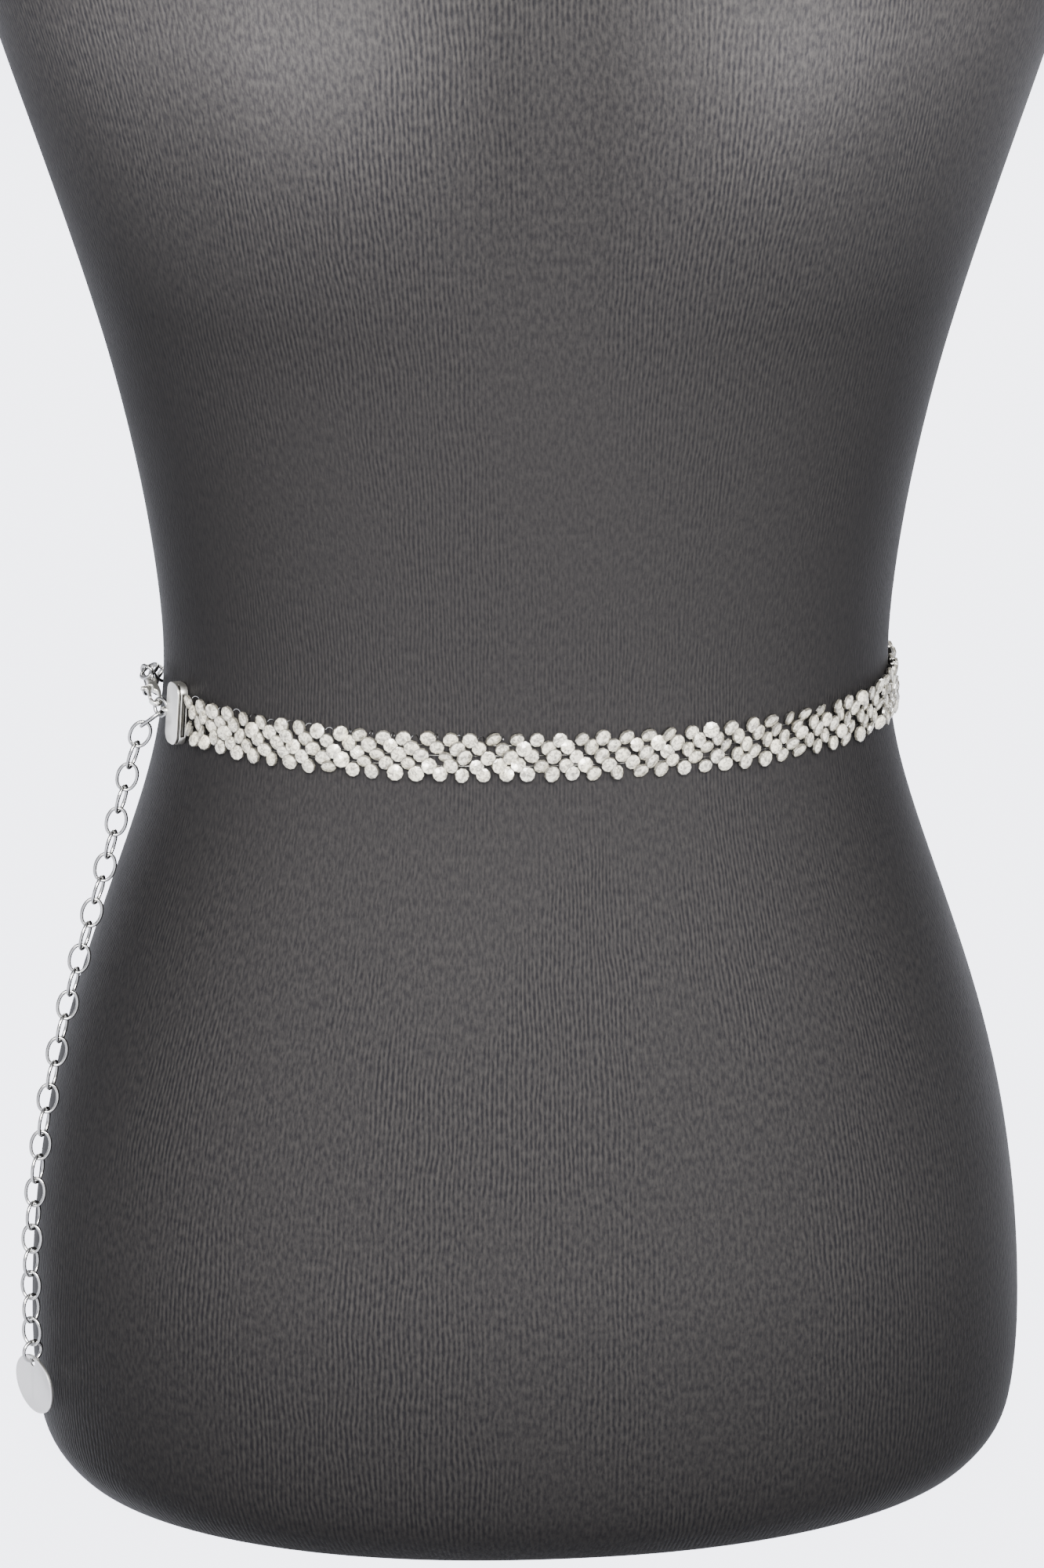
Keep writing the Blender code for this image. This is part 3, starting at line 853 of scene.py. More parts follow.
@dataclass(frozen=True)
class StoneFinish(Finish):
    """Milky faceted stones; each keeps its own tone, and random facets get painted shade."""

    painted_foil_reflection: Colour = (0.16, 0.15, 0.13)
    facet_shade: Colour = (0.38, 0.355, 0.28)
    painted_rim_shade: Colour = (0.045, 0.042, 0.038)
    foil_noise_scale: float = 820.0
    bump: float = 0.5
    polish_depth: float = 0.25 * MM
    veil: Pair = (0.0, 0.85)

    def build(self) -> Material:
        """The stones' material.

        Returns:
            The material.
        """
        material, tree, shader, place = new_material(self.name)
        tone = add_node(tree, "Attribute", "tone of each stone", {}, attribute_name="tone").outputs["Fac"]
        uv = add_node(tree, "UVMap", "face of each stone", {}, uv_map="stone_face").outputs["UV"]
        parts = add_node(tree, "SeparateXYZ", "distance from its axis, random facet value", {0: uv})
        reach, facet = parts.outputs[0], parts.outputs[1]
        # Painted reflection: a noise paints grey patches of the foil's reflection into the stones, and a
        # darker middle on clearer stones; the same noise roughens the polish.
        foil = noise(tree, "foil reflection and polish noise", place, self.foil_noise_scale, 4.0, 0.8)
        middle = spread(tree, "painted reflection in the middle", reach, (0.06, 0.30), self.veil[::-1])
        clear = spread(tree, "stones that show it", tone, (0.60, 0.85))
        layers = (
            (spread(tree, "facets turned from the light", facet, (0.45, 1.0), self.veil), self.facet_shade),
            (spread(tree, "painted reflections in the foil", foil, (0.47, 0.64), self.veil), self.painted_foil_reflection),
            (maths(tree, "MULTIPLY", "how much shows", middle, clear), self.painted_foil_reflection),
            # Painted shade: a dark line where the cup's rim shades the stone's edge.
            (spread(tree, "painted shade at the cup's rim", reach, (0.85, 0.95), self.veil), self.painted_rim_shade),
        )
        colour = blend(tree, "warm or cool stone", tone, self.colour, self.shade)
        for share, layer in layers:
            colour = blend(tree, "stone colour", share, colour, layer)
        surface = {
            "IOR": 2.2,
            "Base Color": colour,
            "Roughness": spread(tree, "roughness", facet, UNIT, self.roughness),
            "Normal": relief(tree, "uneven polish", foil, self.bump, self.polish_depth),
        }
        feed(tree, shader, surface)
        return material


@dataclass(frozen=True)
class BoardFinish(Finish):
    """Painted board with a fine grain, in the form's base and neck."""

    grain_scale: float = 350.0
    bump: float = 0.2
    grain_depth: float = 0.1 * MM

    def build(self) -> Material:
        """The board's material.

        Returns:
            The material.
        """
        material, tree, shader, place = new_material(self.name)
        grain = noise(tree, "painted grain", place, self.grain_scale, 3.0)
        surface = {
            "Base Color": blend(tree, "paint", grain, self.colour, self.shade),
            "Roughness": spread(tree, "roughness", grain, (0.3, 0.7), self.roughness),
            "Normal": relief(tree, "grain relief", grain, self.bump, self.grain_depth),
        }
        feed(tree, shader, surface)
        return material


# The chain's silver is darker than plain silver: painted shade for the dark reflections along its links.
SILVER = MetalFinish("silver_plate_polished", (0.54, 0.54, 0.53), (0.38, 0.38, 0.38), (0.12, 0.24))
CAST = MetalFinish("cast_silver", (0.98, 0.97, 0.92), (0.91, 0.90, 0.86), (0.30, 0.42), 4000.0)
SATIN = MetalFinish(
    "satin_silver_brushed", (0.76, 0.755, 0.745), (0.71, 0.705, 0.695), (0.32, 0.40), 5200.0, 60.0
)
# Dark silver for the cups and the linking wires: painted shade for the gaps between the stones.
CUPS = MetalFinish("stone_cup_silver_painted_shade", (0.34, 0.33, 0.31), (0.22, 0.215, 0.205), (0.26, 0.40))
# The knit's second colour is the painted shade in the hollows of its yarn, tinted blue.
KNIT = KnitFinish("charcoal_rib_knit", (0.0415, 0.0395, 0.0395), (0.0135, 0.0132, 0.0155), (0.40, 0.52))
STONE = StoneFinish("milky_rhinestone", (1.0, 0.95, 0.78), (0.92, 0.89, 0.79), (0.06, 0.18))
BOARD = BoardFinish("painted_board", (0.030, 0.029, 0.030), (0.018, 0.018, 0.019), (0.5, 0.7))


# Pieces


@dataclass
class FormCover:
    """The limbless form under its knitted cover, with a board in its base and its neck."""

    knit: Material
    board: Material
    levels: int = 2
    top: float = 0.758
    around: int = 192
    seam: float = 0.6 * MM
    turned_edge: float = 7 * MM
    wall: float = 0.5 * MM
    recess: float = 1.5 * MM
    board_gap: float = 0.8 * MM
    board_drop: float = 0.2 * MM
    board_edge: Pair = (0.5 * MM, 0.15 * MM)

    def build(self) -> None:
        """Smooths a copy of the form, lays the knit's map round it and closes both ends."""
        cover = cad_copy("dress_form", "form_cover")
        self.turn_in_ends(cover)
        boards = {name: self.board_piece(cover, side) for name, side in (("base", -1), ("neck", 1))}
        apply_modifier(cover, "SUBSURF", levels=self.levels, render_levels=self.levels)
        self.lay_map(cover)
        smooth(cover, 50)
        hand_over(cover, self.knit, ["dress_form"])
        for name, board in boards.items():
            board.name = f"{name}_board"
            hand_over(board, self.board)

    def turn_in_ends(self, cover: Piece) -> None:
        """Turns the cover's edge over at the base and the neck, round a shallow recess.

        Args:
            cover: The merged copy of the form.
        """
        with editing(cover):
            for side in (-1, 1):
                pick(cover, lambda face, side=side: face.normal.z * side > 0.99)
                bpy.ops.mesh.dissolve_faces()
                inset((self.seam, 0), (self.turned_edge, 0), (self.wall, -self.recess), (self.board_gap, 0))

    def board_piece(self, cover: Piece, side: int) -> Piece:
        """The flat board that fills one recess of the cover.

        Args:
            cover: The cover before it is smoothed.
            side: -1 for the base and 1 for the neck.

        Returns:
            The board.
        """
        board = copy_of(cover, "board")
        floor = (self.top if side > 0 else 0.0) - side * self.recess
        with editing(board):
            pick(board, lambda face: abs(face.calc_center_median().z - floor) > 0.01 * MM)
            bpy.ops.mesh.delete(type="FACE")
            bpy.ops.mesh.select_all(action="SELECT")
            bpy.ops.mesh.dissolve_faces()
            rise = (0, 0, side * (self.recess - self.board_drop))
            bpy.ops.mesh.extrude_region_move(TRANSFORM_OT_translate={"value": rise})
            inset(self.board_edge)
        tidy(board)
        return board

    def lay_map(self, cover: Piece) -> None:
        """Maps the share of the way round each level ring, from the back, against height.

        Args:
            cover: The smoothed cover.
        """
        places = points_of(cover)
        turns = (np.arctan2(places[:, 0], -places[:, 1]) + math.pi + 1e-4) % math.tau
        tables = self.ring_tables(places, turns)
        levels = np.array([table[0] for table in tables])
        shares = np.zeros(len(places))
        for index, (height, turn) in enumerate(zip(places[:, 2], turns)):
            upper = int(np.clip(np.searchsorted(levels, height), 1, len(levels) - 1))
            below, above = (np.interp(turn, *table[1:]) for table in tables[upper - 1 : upper + 1])
            part = (height - levels[upper - 1]) / (levels[upper] - levels[upper - 1])
            shares[index] = below + (above - below) * min(max(part, 0.0), 1.0)
        layer = cover.data.uv_layers.new(name="knit")
        for face in cover.data.polygons:
            across = [float(shares[index]) for index in face.vertices]
            wraps = max(across) - min(across) > 0.5
            for loop, share in zip(face.loop_indices, across):
                height = float(places[cover.data.loops[loop].vertex_index, 2])
                layer.data[loop].uv = (share + 1.0 if wraps and share < 0.5 else share, height)

    def ring_tables(
        self, places: np.ndarray, turns: np.ndarray
    ) -> list[tuple[float, np.ndarray, np.ndarray]]:
        """The share of the way round against the angle, for each whole level ring.

        Args:
            places: The cover's points.
            turns: Each point's angle from the back.

        Returns:
            Each ring's height, angles and shares, from the base up.
        """
        end_zone, axis_zone, level_step = 0.4 * MM, 30 * MM, 0.1 * MM
        side_wall = (places[:, 2] > end_zone) & (places[:, 2] < self.top - end_zone)
        side_wall &= np.hypot(places[:, 0], places[:, 1]) > axis_zone
        order = np.argsort(places[:, 2])
        order = order[side_wall[order]]
        breaks = np.flatnonzero(np.diff(places[order, 2]) > level_step) + 1
        tables = []
        for ring in np.split(order, breaks):
            if not 0.75 * self.around < len(ring) <= self.around:
                continue
            ring = ring[np.argsort(turns[ring])]
            loop = places[np.append(ring, ring[0])]
            walked = np.r_[0.0, np.cumsum(np.linalg.norm(np.diff(loop, axis=0), axis=1))]
            shares = walked[:-1] / walked[-1]
            angles = np.r_[turns[ring[-1]] - math.tau, turns[ring], turns[ring[0]] + math.tau]
            tables.append((float(places[ring[0], 2]), angles, np.r_[shares[-1] - 1.0, shares, 1.0]))
        return tables


@dataclass
class StoneBand:
    """Five slanting rows of cup-set stones on thin linking wires."""

    line: BeltLine
    glass: Material
    cups: Material
    silver: Material
    rows: int = 5
    pitch: float = 7.1 * MM
    row_rise: float = 2.9 * MM
    row_shift: float = 2.8 * MM
    margin: float = 2.6 * MM
    radius: float = 2.66 * MM
    girdle: float = 0.96
    table: float = 0.42
    cup_share: float = 0.73
    lift: float = 2.0 * MM
    shingle: float = math.radians(15)
    start_shingle: float = math.radians(-8)
    shingle_reach: float = 80 * MM
    nudges: Triple = (0.65, 0.35, 0.4)
    unrest: float = 13
    growth: Pair = (0.92, 1.06)
    sides: int = 10
    body: float = 0.8 * MM
    crown: float = 0.6 * MM
    peak: float = 0.05 * MM
    foot: Pair = (0.5 * MM, 0.3 * MM)
    cup_depth: float = 1.0 * MM
    cup_middle: float = -0.85 * MM
    cup_flare: float = 1.22
    cup_brim: float = -0.35 * MM
    loop_reach: float = 120 * MM
    loop_radius: float = 1.2 * MM
    loop_wire: float = 0.13 * MM
    loop_lift: float = 1.3 * MM
    wire_rises: Triple = (-3.4 * MM, 0.0, 3.4 * MM)
    wire_radius: float = 0.15 * MM
    wire_lift: float = 0.5 * MM
    wire_step: float = 2.4 * MM
    seed: int = 7

    def build(self) -> None:
        """Models one stone, cup and edge loop, and copies them over the band."""
        places = self.places()
        stone, cup, loop = self.stone_pattern(), self.cup_pattern(), self.loop_pattern()
        stones = [copy_of(stone, "stone", matrix) for matrix in places]
        self.map_stones(stones, places)
        cups = [copy_of(cup, "cup", matrix) for matrix in places]
        loops = [copy_of(loop, "loop", matrix) for matrix in self.loop_places()]
        discard(stone, cup, loop)
        hand_over(join(stones, "stones"), self.glass, ["stone_band"])
        hand_over(join(cups, "stone_cups"), self.cups)
        hand_over(join(loops, "edge_loops"), self.silver)
        wires = [self.wire(rise) for rise in self.wire_rises]
        # The linking wires take the cups' dark finish, which is painted shade in the gaps.
        hand_over(join(wires, "linking_wires"), self.cups)

    def places(self) -> list[Matrix]:
        """Where each stone sits: lapped over the one above it, but on edge by the left bar.

        Returns:
            A matrix for each stone.
        """
        chance = random.Random(self.seed)
        diagonal = Vector((self.row_shift, -self.row_rise, 0)).normalized()
        hinge = Vector((-diagonal.y, diagonal.x, 0))
        found = []
        for row in range(self.rows):
            level = (self.rows // 2 - row) * self.row_rise
            along = self.margin + (row * self.row_shift) % self.pitch
            while along < BAND_LENGTH - self.margin:
                nudge = [chance.uniform(-reach, reach) * MM for reach in self.nudges]
                seat = self.line.matrix(along + nudge[0], level + nudge[1], self.lift + nudge[2])
                lean = float(np.interp(along, (0, self.shingle_reach), (self.start_shingle, self.shingle)))
                tip = Matrix.Rotation(lean + math.radians(chance.gauss(0, self.unrest)), 4, hinge)
                roll = Matrix.Rotation(math.radians(chance.gauss(0, self.unrest)), 4, diagonal)
                spin = Matrix.Rotation(chance.uniform(0, math.tau), 4, "Z")
                size = Matrix.Scale(chance.uniform(*self.growth), 4)
                found.append(seat @ roll @ tip @ spin @ size)
                along += self.pitch
        return found

    def stone_pattern(self) -> Piece:
        """One stone: a deep body under a faceted crown whose table is turned half a side.

        Returns:
            The stone, round the origin.
        """
        put_down()
        girdle, table = self.radius * self.girdle, self.radius * self.table
        half_side = math.pi / self.sides
        bpy.ops.mesh.primitive_cylinder_add(vertices=self.sides, radius=girdle, depth=self.body)
        stone = newest()
        with editing(stone):
            pick(stone, lambda face: face.normal.z > 0.9)
            inset(((girdle - table) * math.cos(half_side), self.crown))
            bpy.ops.transform.rotate(value=half_side, orient_axis="Z", center_override=CENTRE)
            pick(stone, lambda face: face.normal.z < -0.9)
            inset(self.foot)
            pick(stone, lambda face: face.normal.z > 0.05 and len(face.verts) == 4)
            bpy.ops.mesh.quads_convert_to_tris(quad_method="SHORTEST_DIAGONAL")
            pick(stone, lambda face: face.normal.z > 0.99 and len(face.verts) > 4)
            bpy.ops.mesh.poke(offset=self.peak)
        return smooth(stone, 24)

    def cup_pattern(self) -> Piece:
        """One cup: a shallow pan that flares to a turned rim.

        Returns:
            The cup, under a stone that is round the origin.
        """
        put_down()
        bpy.ops.mesh.primitive_cylinder_add(
            vertices=12,
            radius=self.radius * self.cup_share,
            depth=self.cup_depth,
            location=(0, 0, self.cup_middle),
        )
        cup = newest()
        bpy.ops.object.transform_apply(location=True, rotation=False, scale=False)
        with editing(cup):
            pick(cup, lambda face: face.normal.z > 0.9)
            flare = (self.cup_flare, self.cup_flare, 1.0)
            bpy.ops.transform.resize(value=flare, center_override=(0.0, 0.0, self.cup_brim))
            bpy.ops.mesh.extrude_region_move(TRANSFORM_OT_translate={"value": (0, 0, 0.2 * MM)})
            inset((0.16 * MM, 0), (0.10 * MM, -0.3 * MM))
        return cup

    def loop_pattern(self) -> Piece:
        """One loop of fine wire, half of it, that stands up behind the top row.

        Returns:
            The half loop, round the origin.
        """
        put_down()
        bpy.ops.mesh.primitive_torus_add(
            major_radius=self.loop_radius, minor_radius=self.loop_wire, major_segments=16, minor_segments=6
        )
        loop = newest()
        with editing(loop):
            bpy.ops.mesh.bisect(plane_co=CENTRE, plane_no=(0, 1, 0), clear_inner=True, use_fill=True)
        return smooth(loop)

    def loop_places(self) -> list[Matrix]:
        """Where the edge loops stand, one in each gap of the top row by the left bar.

        Returns:
            A matrix for each loop.
        """
        chance = random.Random(self.seed + 2)
        found = []
        along = self.margin + self.pitch * 0.44
        while along < self.loop_reach:
            left = 1 - along / self.loop_reach
            rise = self.rows // 2 * self.row_rise + (chance.uniform(-0.6, 0.4) + 1.4 * left) * MM
            seat = self.line.matrix(along, rise, self.loop_lift)
            turn = Matrix.Rotation(math.radians(chance.uniform(15, 100)), 4, "Y")
            found.append(seat @ turn @ Matrix.Rotation(math.radians(-20), 4, "Z"))
            along += self.pitch
        return found

    def wire(self, rise: float) -> Piece:
        """One linking wire behind a row of stones, from end to end of the band.

        Args:
            rise: Its height on the band.

        Returns:
            The wire as a mesh.
        """
        curve = bpy.data.curves.new("wire", "CURVE")
        curve.dimensions = "3D"
        curve.bevel_depth = self.wire_radius
        curve.bevel_resolution = 1
        curve.use_fill_caps = True
        spline = curve.splines.new("POLY")
        steps = round(BAND_LENGTH / self.wire_step)
        spline.points.add(steps)
        for step, point in enumerate(spline.points):
            point.co = (*self.line.seat(BAND_LENGTH * step / steps, rise, self.wire_lift), 1.0)
        return to_mesh(linked("wire", curve))

    def map_stones(self, stones: Sequence[Piece], places: Sequence[Matrix]) -> None:
        """Gives each stone its own tone and maps it: distance from its axis, and a random value per facet
        for painted facet shade and roughness.

        Args:
            stones: The copied stones.
            places: The matrix that put each of them in its place.
        """
        chance = random.Random(self.seed + 1)
        for stone, matrix in zip(stones, places):
            value = chance.random()
            tone = stone.data.attributes.new("tone", "FLOAT", "POINT")
            tone.data.foreach_set("value", [value] * len(stone.data.vertices))
            back = matrix.inverted()
            reach = [(back @ point.co).xy.length / self.radius for point in stone.data.vertices]
            layer = stone.data.uv_layers.new(name="stone_face")
            for face in stone.data.polygons:
                facet = chance.random()
                for loop in face.loop_indices:
                    layer.data[loop].uv = (reach[stone.data.loops[loop].vertex_index], facet)


@dataclass
class WireShapes:
    """The round-wire pieces of the chains and rings."""

    link_width: float = 7.6 * MM
    cad_wire: float = 1.1 * MM
    wire: float = 1.2 * MM
    seam: float = 0.3 * MM
    pitch: float = 8.15 * MM
    jump_radius: float = 2.95 * MM

    @property
    def overlap(self) -> float:
        """How far one link reaches into the next: its wire and the play beside it."""
        return self.cad_wire + self.seam

    def ring(self, node: str, radius: float, wire: float) -> Piece:
        """A plain ring of round wire where a CAD ring is.

        Args:
            node: The CAD ring's name.
            radius: From its middle to the middle of its wire.
            wire: The wire's thickness.

        Returns:
            The ring.
        """
        put_down()
        bpy.ops.mesh.primitive_torus_add(
            major_radius=radius, minor_radius=wire / 2, major_segments=30, minor_segments=10
        )
        newest().name = f"{node}_wire"
        return smooth(settle(newest(), measured_frame(node)))

    def link(self, pitch: float) -> Piece:
        """An oval link of round wire, X along the chain: a circle drawn out to its length.

        Args:
            pitch: The distance from this link to the next.

        Returns:
            The link.
        """
        radius = (self.link_width - self.cad_wire) / 2
        reach = (pitch + self.overlap) / 2
        put_down()
        bpy.ops.curve.primitive_bezier_circle_add(radius=radius)
        link = newest()
        with editing(link):
            bpy.ops.transform.resize(value=(reach / radius, 1.0, 1.0), center_override=CENTRE)
        link.data.bevel_depth = self.wire / 2
        link.data.bevel_resolution = 3
        link.data.resolution_u = 7
        return to_mesh(link)


@dataclass
class HangingChain:
    """The spare chain that hangs over the hip, with its last ring."""

    shapes: WireShapes
    finish: Material
    links: int = 28
    ring_radius: float = 3.55 * MM

    def build(self) -> None:
        """Puts a round-wire link where each CAD link is."""
        pattern = self.shapes.link(self.shapes.pitch)
        for number in range(1, self.links + 1):
            node = f"hanging_link_{number:02d}"
            link = copy_of(pattern, f"chain_drop_{number:02d}", measured_frame(node))
            hand_over(link, self.finish, [node])
        discard(pattern)
        ring = self.shapes.ring("tag_ring", self.ring_radius, self.shapes.wire)
        hand_over(ring, self.finish, ["tag_ring"])


@dataclass
class EndBar:
    """A cast end bar: a plain face, a groove and a slot in the wall by the band, a wire lug."""

    line: BeltLine
    finish: Material
    way: str
    along: float
    side: int
    height: float = 20.5 * MM
    depth: float = 3.6 * MM
    corner: float = 3.4 * MM
    gap: float = 0.8 * MM
    groove: Pair = (0.5 * MM, 1.15 * MM)
    groove_cut: Pair = (0.04 * MM, -0.6 * MM)
    slot_margin: float = 0.6 * MM
    slot_cut: Pair = (0.08 * MM, -1.2 * MM)
    lug_radius: float = 1.4 * MM
    lug_wire: float = 0.58 * MM
    lug_standoff: float = 0.9 * MM
    lug_lift: float = 3.6 * MM

    def build(self) -> None:
        """Models the bar flat, adds the lug and seats it on the belt."""
        bar = self.rounded_block()
        upper, lower = (self.depth / 2 - offset for offset in self.groove)
        with editing(bar):
            for edge in (upper, lower):
                bpy.ops.mesh.select_all(action="SELECT")
                bpy.ops.mesh.bisect(plane_co=(0, 0, edge), plane_no=(0, 0, 1))
            self.pick_wall(bar, 0.2, lower, upper)
            inset(self.groove_cut)
            self.mark_groove_shade(bar)
            self.pick_wall(bar, 0.99, -self.depth, lower)
            inset((self.slot_margin, 0), self.slot_cut)
            self.mark_groove_shade(bar)
        soften(bar, 0.15 * MM)
        both = join([bar, self.lug()], f"bar_{self.way}")
        settle(both, self.line.matrix(self.along, 0, self.gap + self.depth / 2))
        hand_over(both, self.finish, [f"end_bar_{self.way}"])

    def pick_wall(self, bar: Piece, facing: float, low: float, high: float) -> None:
        """Picks the faces of the wall by the band.

        Args:
            bar: The bar in edit mode.
            facing: How squarely a face looks at the band, from 0 to 1.
            low: The level above which a face's middle has to be.
            high: The level below which it has to be.
        """
        wall = -self.side
        pick(bar, lambda face: face.normal.x * wall > facing and low < face.calc_center_median().z < high)

    def mark_groove_shade(self, bar: Piece) -> None:
        """Marks the floor that was just sunk, and its walls, for painted shade.

        Args:
            bar: The bar in edit mode.
        """
        bpy.ops.mesh.select_more()
        bpy.ops.object.mode_set(mode="OBJECT")
        marks = bar.data.attributes.get("groove_shade") or bar.data.attributes.new("groove_shade", "FLOAT", "FACE")
        for face in bar.data.polygons:
            marks.data[face.index].value = max(marks.data[face.index].value, float(face.select))
        bpy.ops.object.mode_set(mode="EDIT")

    def rounded_block(self) -> Piece:
        """The bar's block round the origin, with its four upright edges rounded.

        Returns:
            The block.
        """
        put_down()
        bpy.ops.mesh.primitive_cube_add(size=1)
        block = newest()
        upright = 0.9 * self.depth
        with editing(block):
            bpy.ops.transform.resize(value=(BAR_WIDTH, self.height, self.depth))
            pick(block, lambda edge: abs(edge.verts[0].co.z - edge.verts[1].co.z) > upright, Pick.EDGES)
            bpy.ops.mesh.bevel(offset=self.corner, segments=6, affect="EDGES")
        return block

    def lug(self) -> Piece:
        """The wire lug on the bar's outer side, where the CAD lug is.

        Returns:
            The lug.
        """
        put_down()
        reach = self.side * (BAR_WIDTH / 2 + self.lug_standoff)
        bpy.ops.mesh.primitive_torus_add(
            major_radius=self.lug_radius,
            minor_radius=self.lug_wire,
            major_segments=20,
            minor_segments=10,
            location=(reach, 0, self.lug_lift - self.gap - self.depth / 2),
            rotation=(math.pi / 2, 0, 0),
        )
        bpy.ops.object.transform_apply(location=True, rotation=True, scale=False)
        return smooth(newest())


@dataclass
class Fastening:
    """The lobster clasp and the rings that it joins."""

    shapes: WireShapes
    finish: Material
    cast: Material
    tail_ring_radius: float = 2.1 * MM
    tail_ring_wire: float = 0.9 * MM
    voxel: float = 0.16 * MM

    def build(self) -> None:
        """Builds the clasp's rounded body and trigger, and three rings."""
        for node in ("clasp_body", "clasp_trigger"):
            piece = cad_copy(node, node.replace("clasp", "lobster"))
            apply_modifier(piece, "REMESH", mode="VOXEL", voxel_size=self.voxel)
            apply_modifier(piece, "SMOOTH", factor=0.5, iterations=24)
            smooth(piece, 80)
            hand_over(piece, self.cast, [node])
        rings = (
            ("jump_ring_left", self.shapes.jump_radius, self.shapes.wire),
            ("jump_ring_right", self.shapes.jump_radius, self.shapes.wire),
            ("clasp_ring", self.tail_ring_radius, self.tail_ring_wire),
        )
        for node, radius, wire in rings:
            hand_over(self.shapes.ring(node, radius, wire), self.finish, [node])


@dataclass
class BackChain:
    """The cable chain round the back, from the right end bar to the clasp."""

    line: BeltLine
    shapes: WireShapes
    finish: Material
    lift: float = 3.7 * MM
    rise: float = -3.0 * MM
    group: int = 4
    turn: float = math.radians(45)
    end_turn: float = math.radians(34)
    slope: float = math.radians(27)
    tuck: float = math.radians(12)
    clear_of_band: float = 22 * MM
    clear_of_clasp: float = 42 * MM
    tail_slack: float = 0.8 * MM
    lead: float = 6.0 * MM
    path_steps: int = 90

    def build(self) -> None:
        """Walks the chain's line and puts a link at each pitch."""
        points = self.path()
        lengths = np.r_[0.0, np.cumsum([(b - a).length for a, b in zip(points, points[1:])])]
        total, gap = float(lengths[-1]), self.shapes.overlap
        count = round(total / self.shapes.pitch)
        pitch = (total - gap) / count
        pattern = self.shapes.link(pitch)
        group: list[Piece] = []
        for number in range(count):
            middle = gap / 2 + pitch * (number + 0.5)
            back, ahead = (self.at(points, lengths, middle + side * pitch / 2) for side in (-1, 1))
            centre = (back + ahead) / 2
            turn = self.end_turn if number in (0, count - 1) else self.turn
            flat = axes(ahead - back, Vector((centre.x, centre.y, 0)), centre)
            place = flat @ Matrix.Rotation(math.pi / 2 + (turn if number % 2 else -turn), 4, "X")
            group.append(copy_of(pattern, "link", place))
            if len(group) == self.group or number == count - 1:
                name = f"{number // self.group + 1:02d}"
                stretch = join(group, f"chain_back_{name}")
                hand_over(stretch, self.finish, [f"back_chain_{name}"])
                group = []
        discard(pattern)

    def path(self) -> list[Vector]:
        """The chain's line from the right jump ring round to the clasp's tail ring.

        Returns:
            The line's points.
        """
        right = measured_frame("jump_ring_right").translation
        ahead = self.line.matrix(BAND_LENGTH + BAR_MIDDLE, 0, 0).to_3x3().col[0]
        points = [right + ahead * (self.shapes.jump_radius - self.shapes.overlap)]
        first, last = BAND_LENGTH + self.clear_of_band, self.line.round - self.clear_of_clasp
        for part in np.linspace(0.0, 1.0, self.path_steps):
            rise = self.rise * part**2 * (3 - 2 * part)
            points.append(self.line.seat(first + (last - first) * part, rise, self.lift))
        start = self.line.seat(-BAR_WIDTH, 0, 0)
        out = self.line.outward(self.line.angle_at(-BAR_WIDTH), self.line.height)
        turn = axes(self.line.seat(0, 0, 0) - start, out, Vector()).to_3x3()
        length = turn @ Vector((-math.cos(self.slope), math.sin(self.slope), -math.sin(self.tuck)))
        tail = measured_frame("clasp_ring").translation + length.normalized() * self.tail_slack
        return points + [tail + length.normalized() * self.lead, tail]

    def at(self, points: Sequence[Vector], lengths: np.ndarray, distance: float) -> Vector:
        """The point a distance along the path.

        Args:
            points: The path's points.
            lengths: The distance to each of them.
            distance: The distance looked up.

        Returns:
            The point.
        """
        index = int(np.clip(np.searchsorted(lengths, distance) - 1, 0, len(points) - 2))
        step = points[index + 1] - points[index]
        return points[index] + step * ((distance - float(lengths[index])) / step.length)


@dataclass
class DiscTag:
    """The blank satin disc on the chain's last ring."""

    finish: Material
    radius: float = 10.5 * MM
    thickness: float = 1.0 * MM
    hole: float = 1.45 * MM
    rim: float = 2.3 * MM
    play: float = 0.6 * MM
    raised_rim: float = 0.75 * MM
    rim_step: Pair = (0.25 * MM, -0.14 * MM)

    def build(self) -> None:
        """Models the disc flat, raises its rim, drills it and hangs it from its pivot."""
        put_down()
        bpy.ops.mesh.primitive_cylinder_add(vertices=72, radius=self.radius, depth=self.thickness)
        disc = newest()
        disc.name = "blank_disc"
        with editing(disc):
            for side in (1, -1):
                pick(disc, lambda face, side=side: face.normal.z * side > 0.9)
                inset((self.raised_rim, 0), self.rim_step)
        put_down()
        place = (self.rim - self.radius, 0, 0)
        bpy.ops.mesh.primitive_cylinder_add(vertices=28, radius=self.hole, depth=6 * MM, location=place)
        drill = newest()
        apply_modifier(disc, "BOOLEAN", operation="DIFFERENCE", solver="EXACT", object=drill)
        discard(drill)
        soften(disc, 0.12 * MM)
        joint = frame["joints"][0]
        normal = Vector(joint["axis"]).normalized()
        down = Vector((0, 0, -1))
        down = (down - normal * down.dot(normal)).normalized()
        centre = Vector(joint["pos_m"]) + down * (self.play + self.radius - self.rim)
        settle(disc, axes(down, normal, centre))
        hand_over(disc, self.finish, ["disc_tag"], Body.TAG)


@dataclass(frozen=True)
class SoftLight:
    """One square soft light that faces the belt."""

    name: str
    place: Triple
    size: float
    power: float
    target: Triple = (0.0, 0.0, 0.3)
    colour: Colour = (1.0, 0.98, 0.94)

    def build(self) -> None:
        """Hangs the light, turned to the belt."""
        lamp = bpy.data.lights.new(self.name, "AREA")
        lamp.size = self.size
        lamp.energy = self.power
        lamp.color = self.colour
        holder = linked(self.name, lamp)
        holder.location = self.place
        aim = Vector(self.target) - Vector(self.place)
        holder.rotation_euler = aim.to_track_quat("-Z", "Y").to_euler()


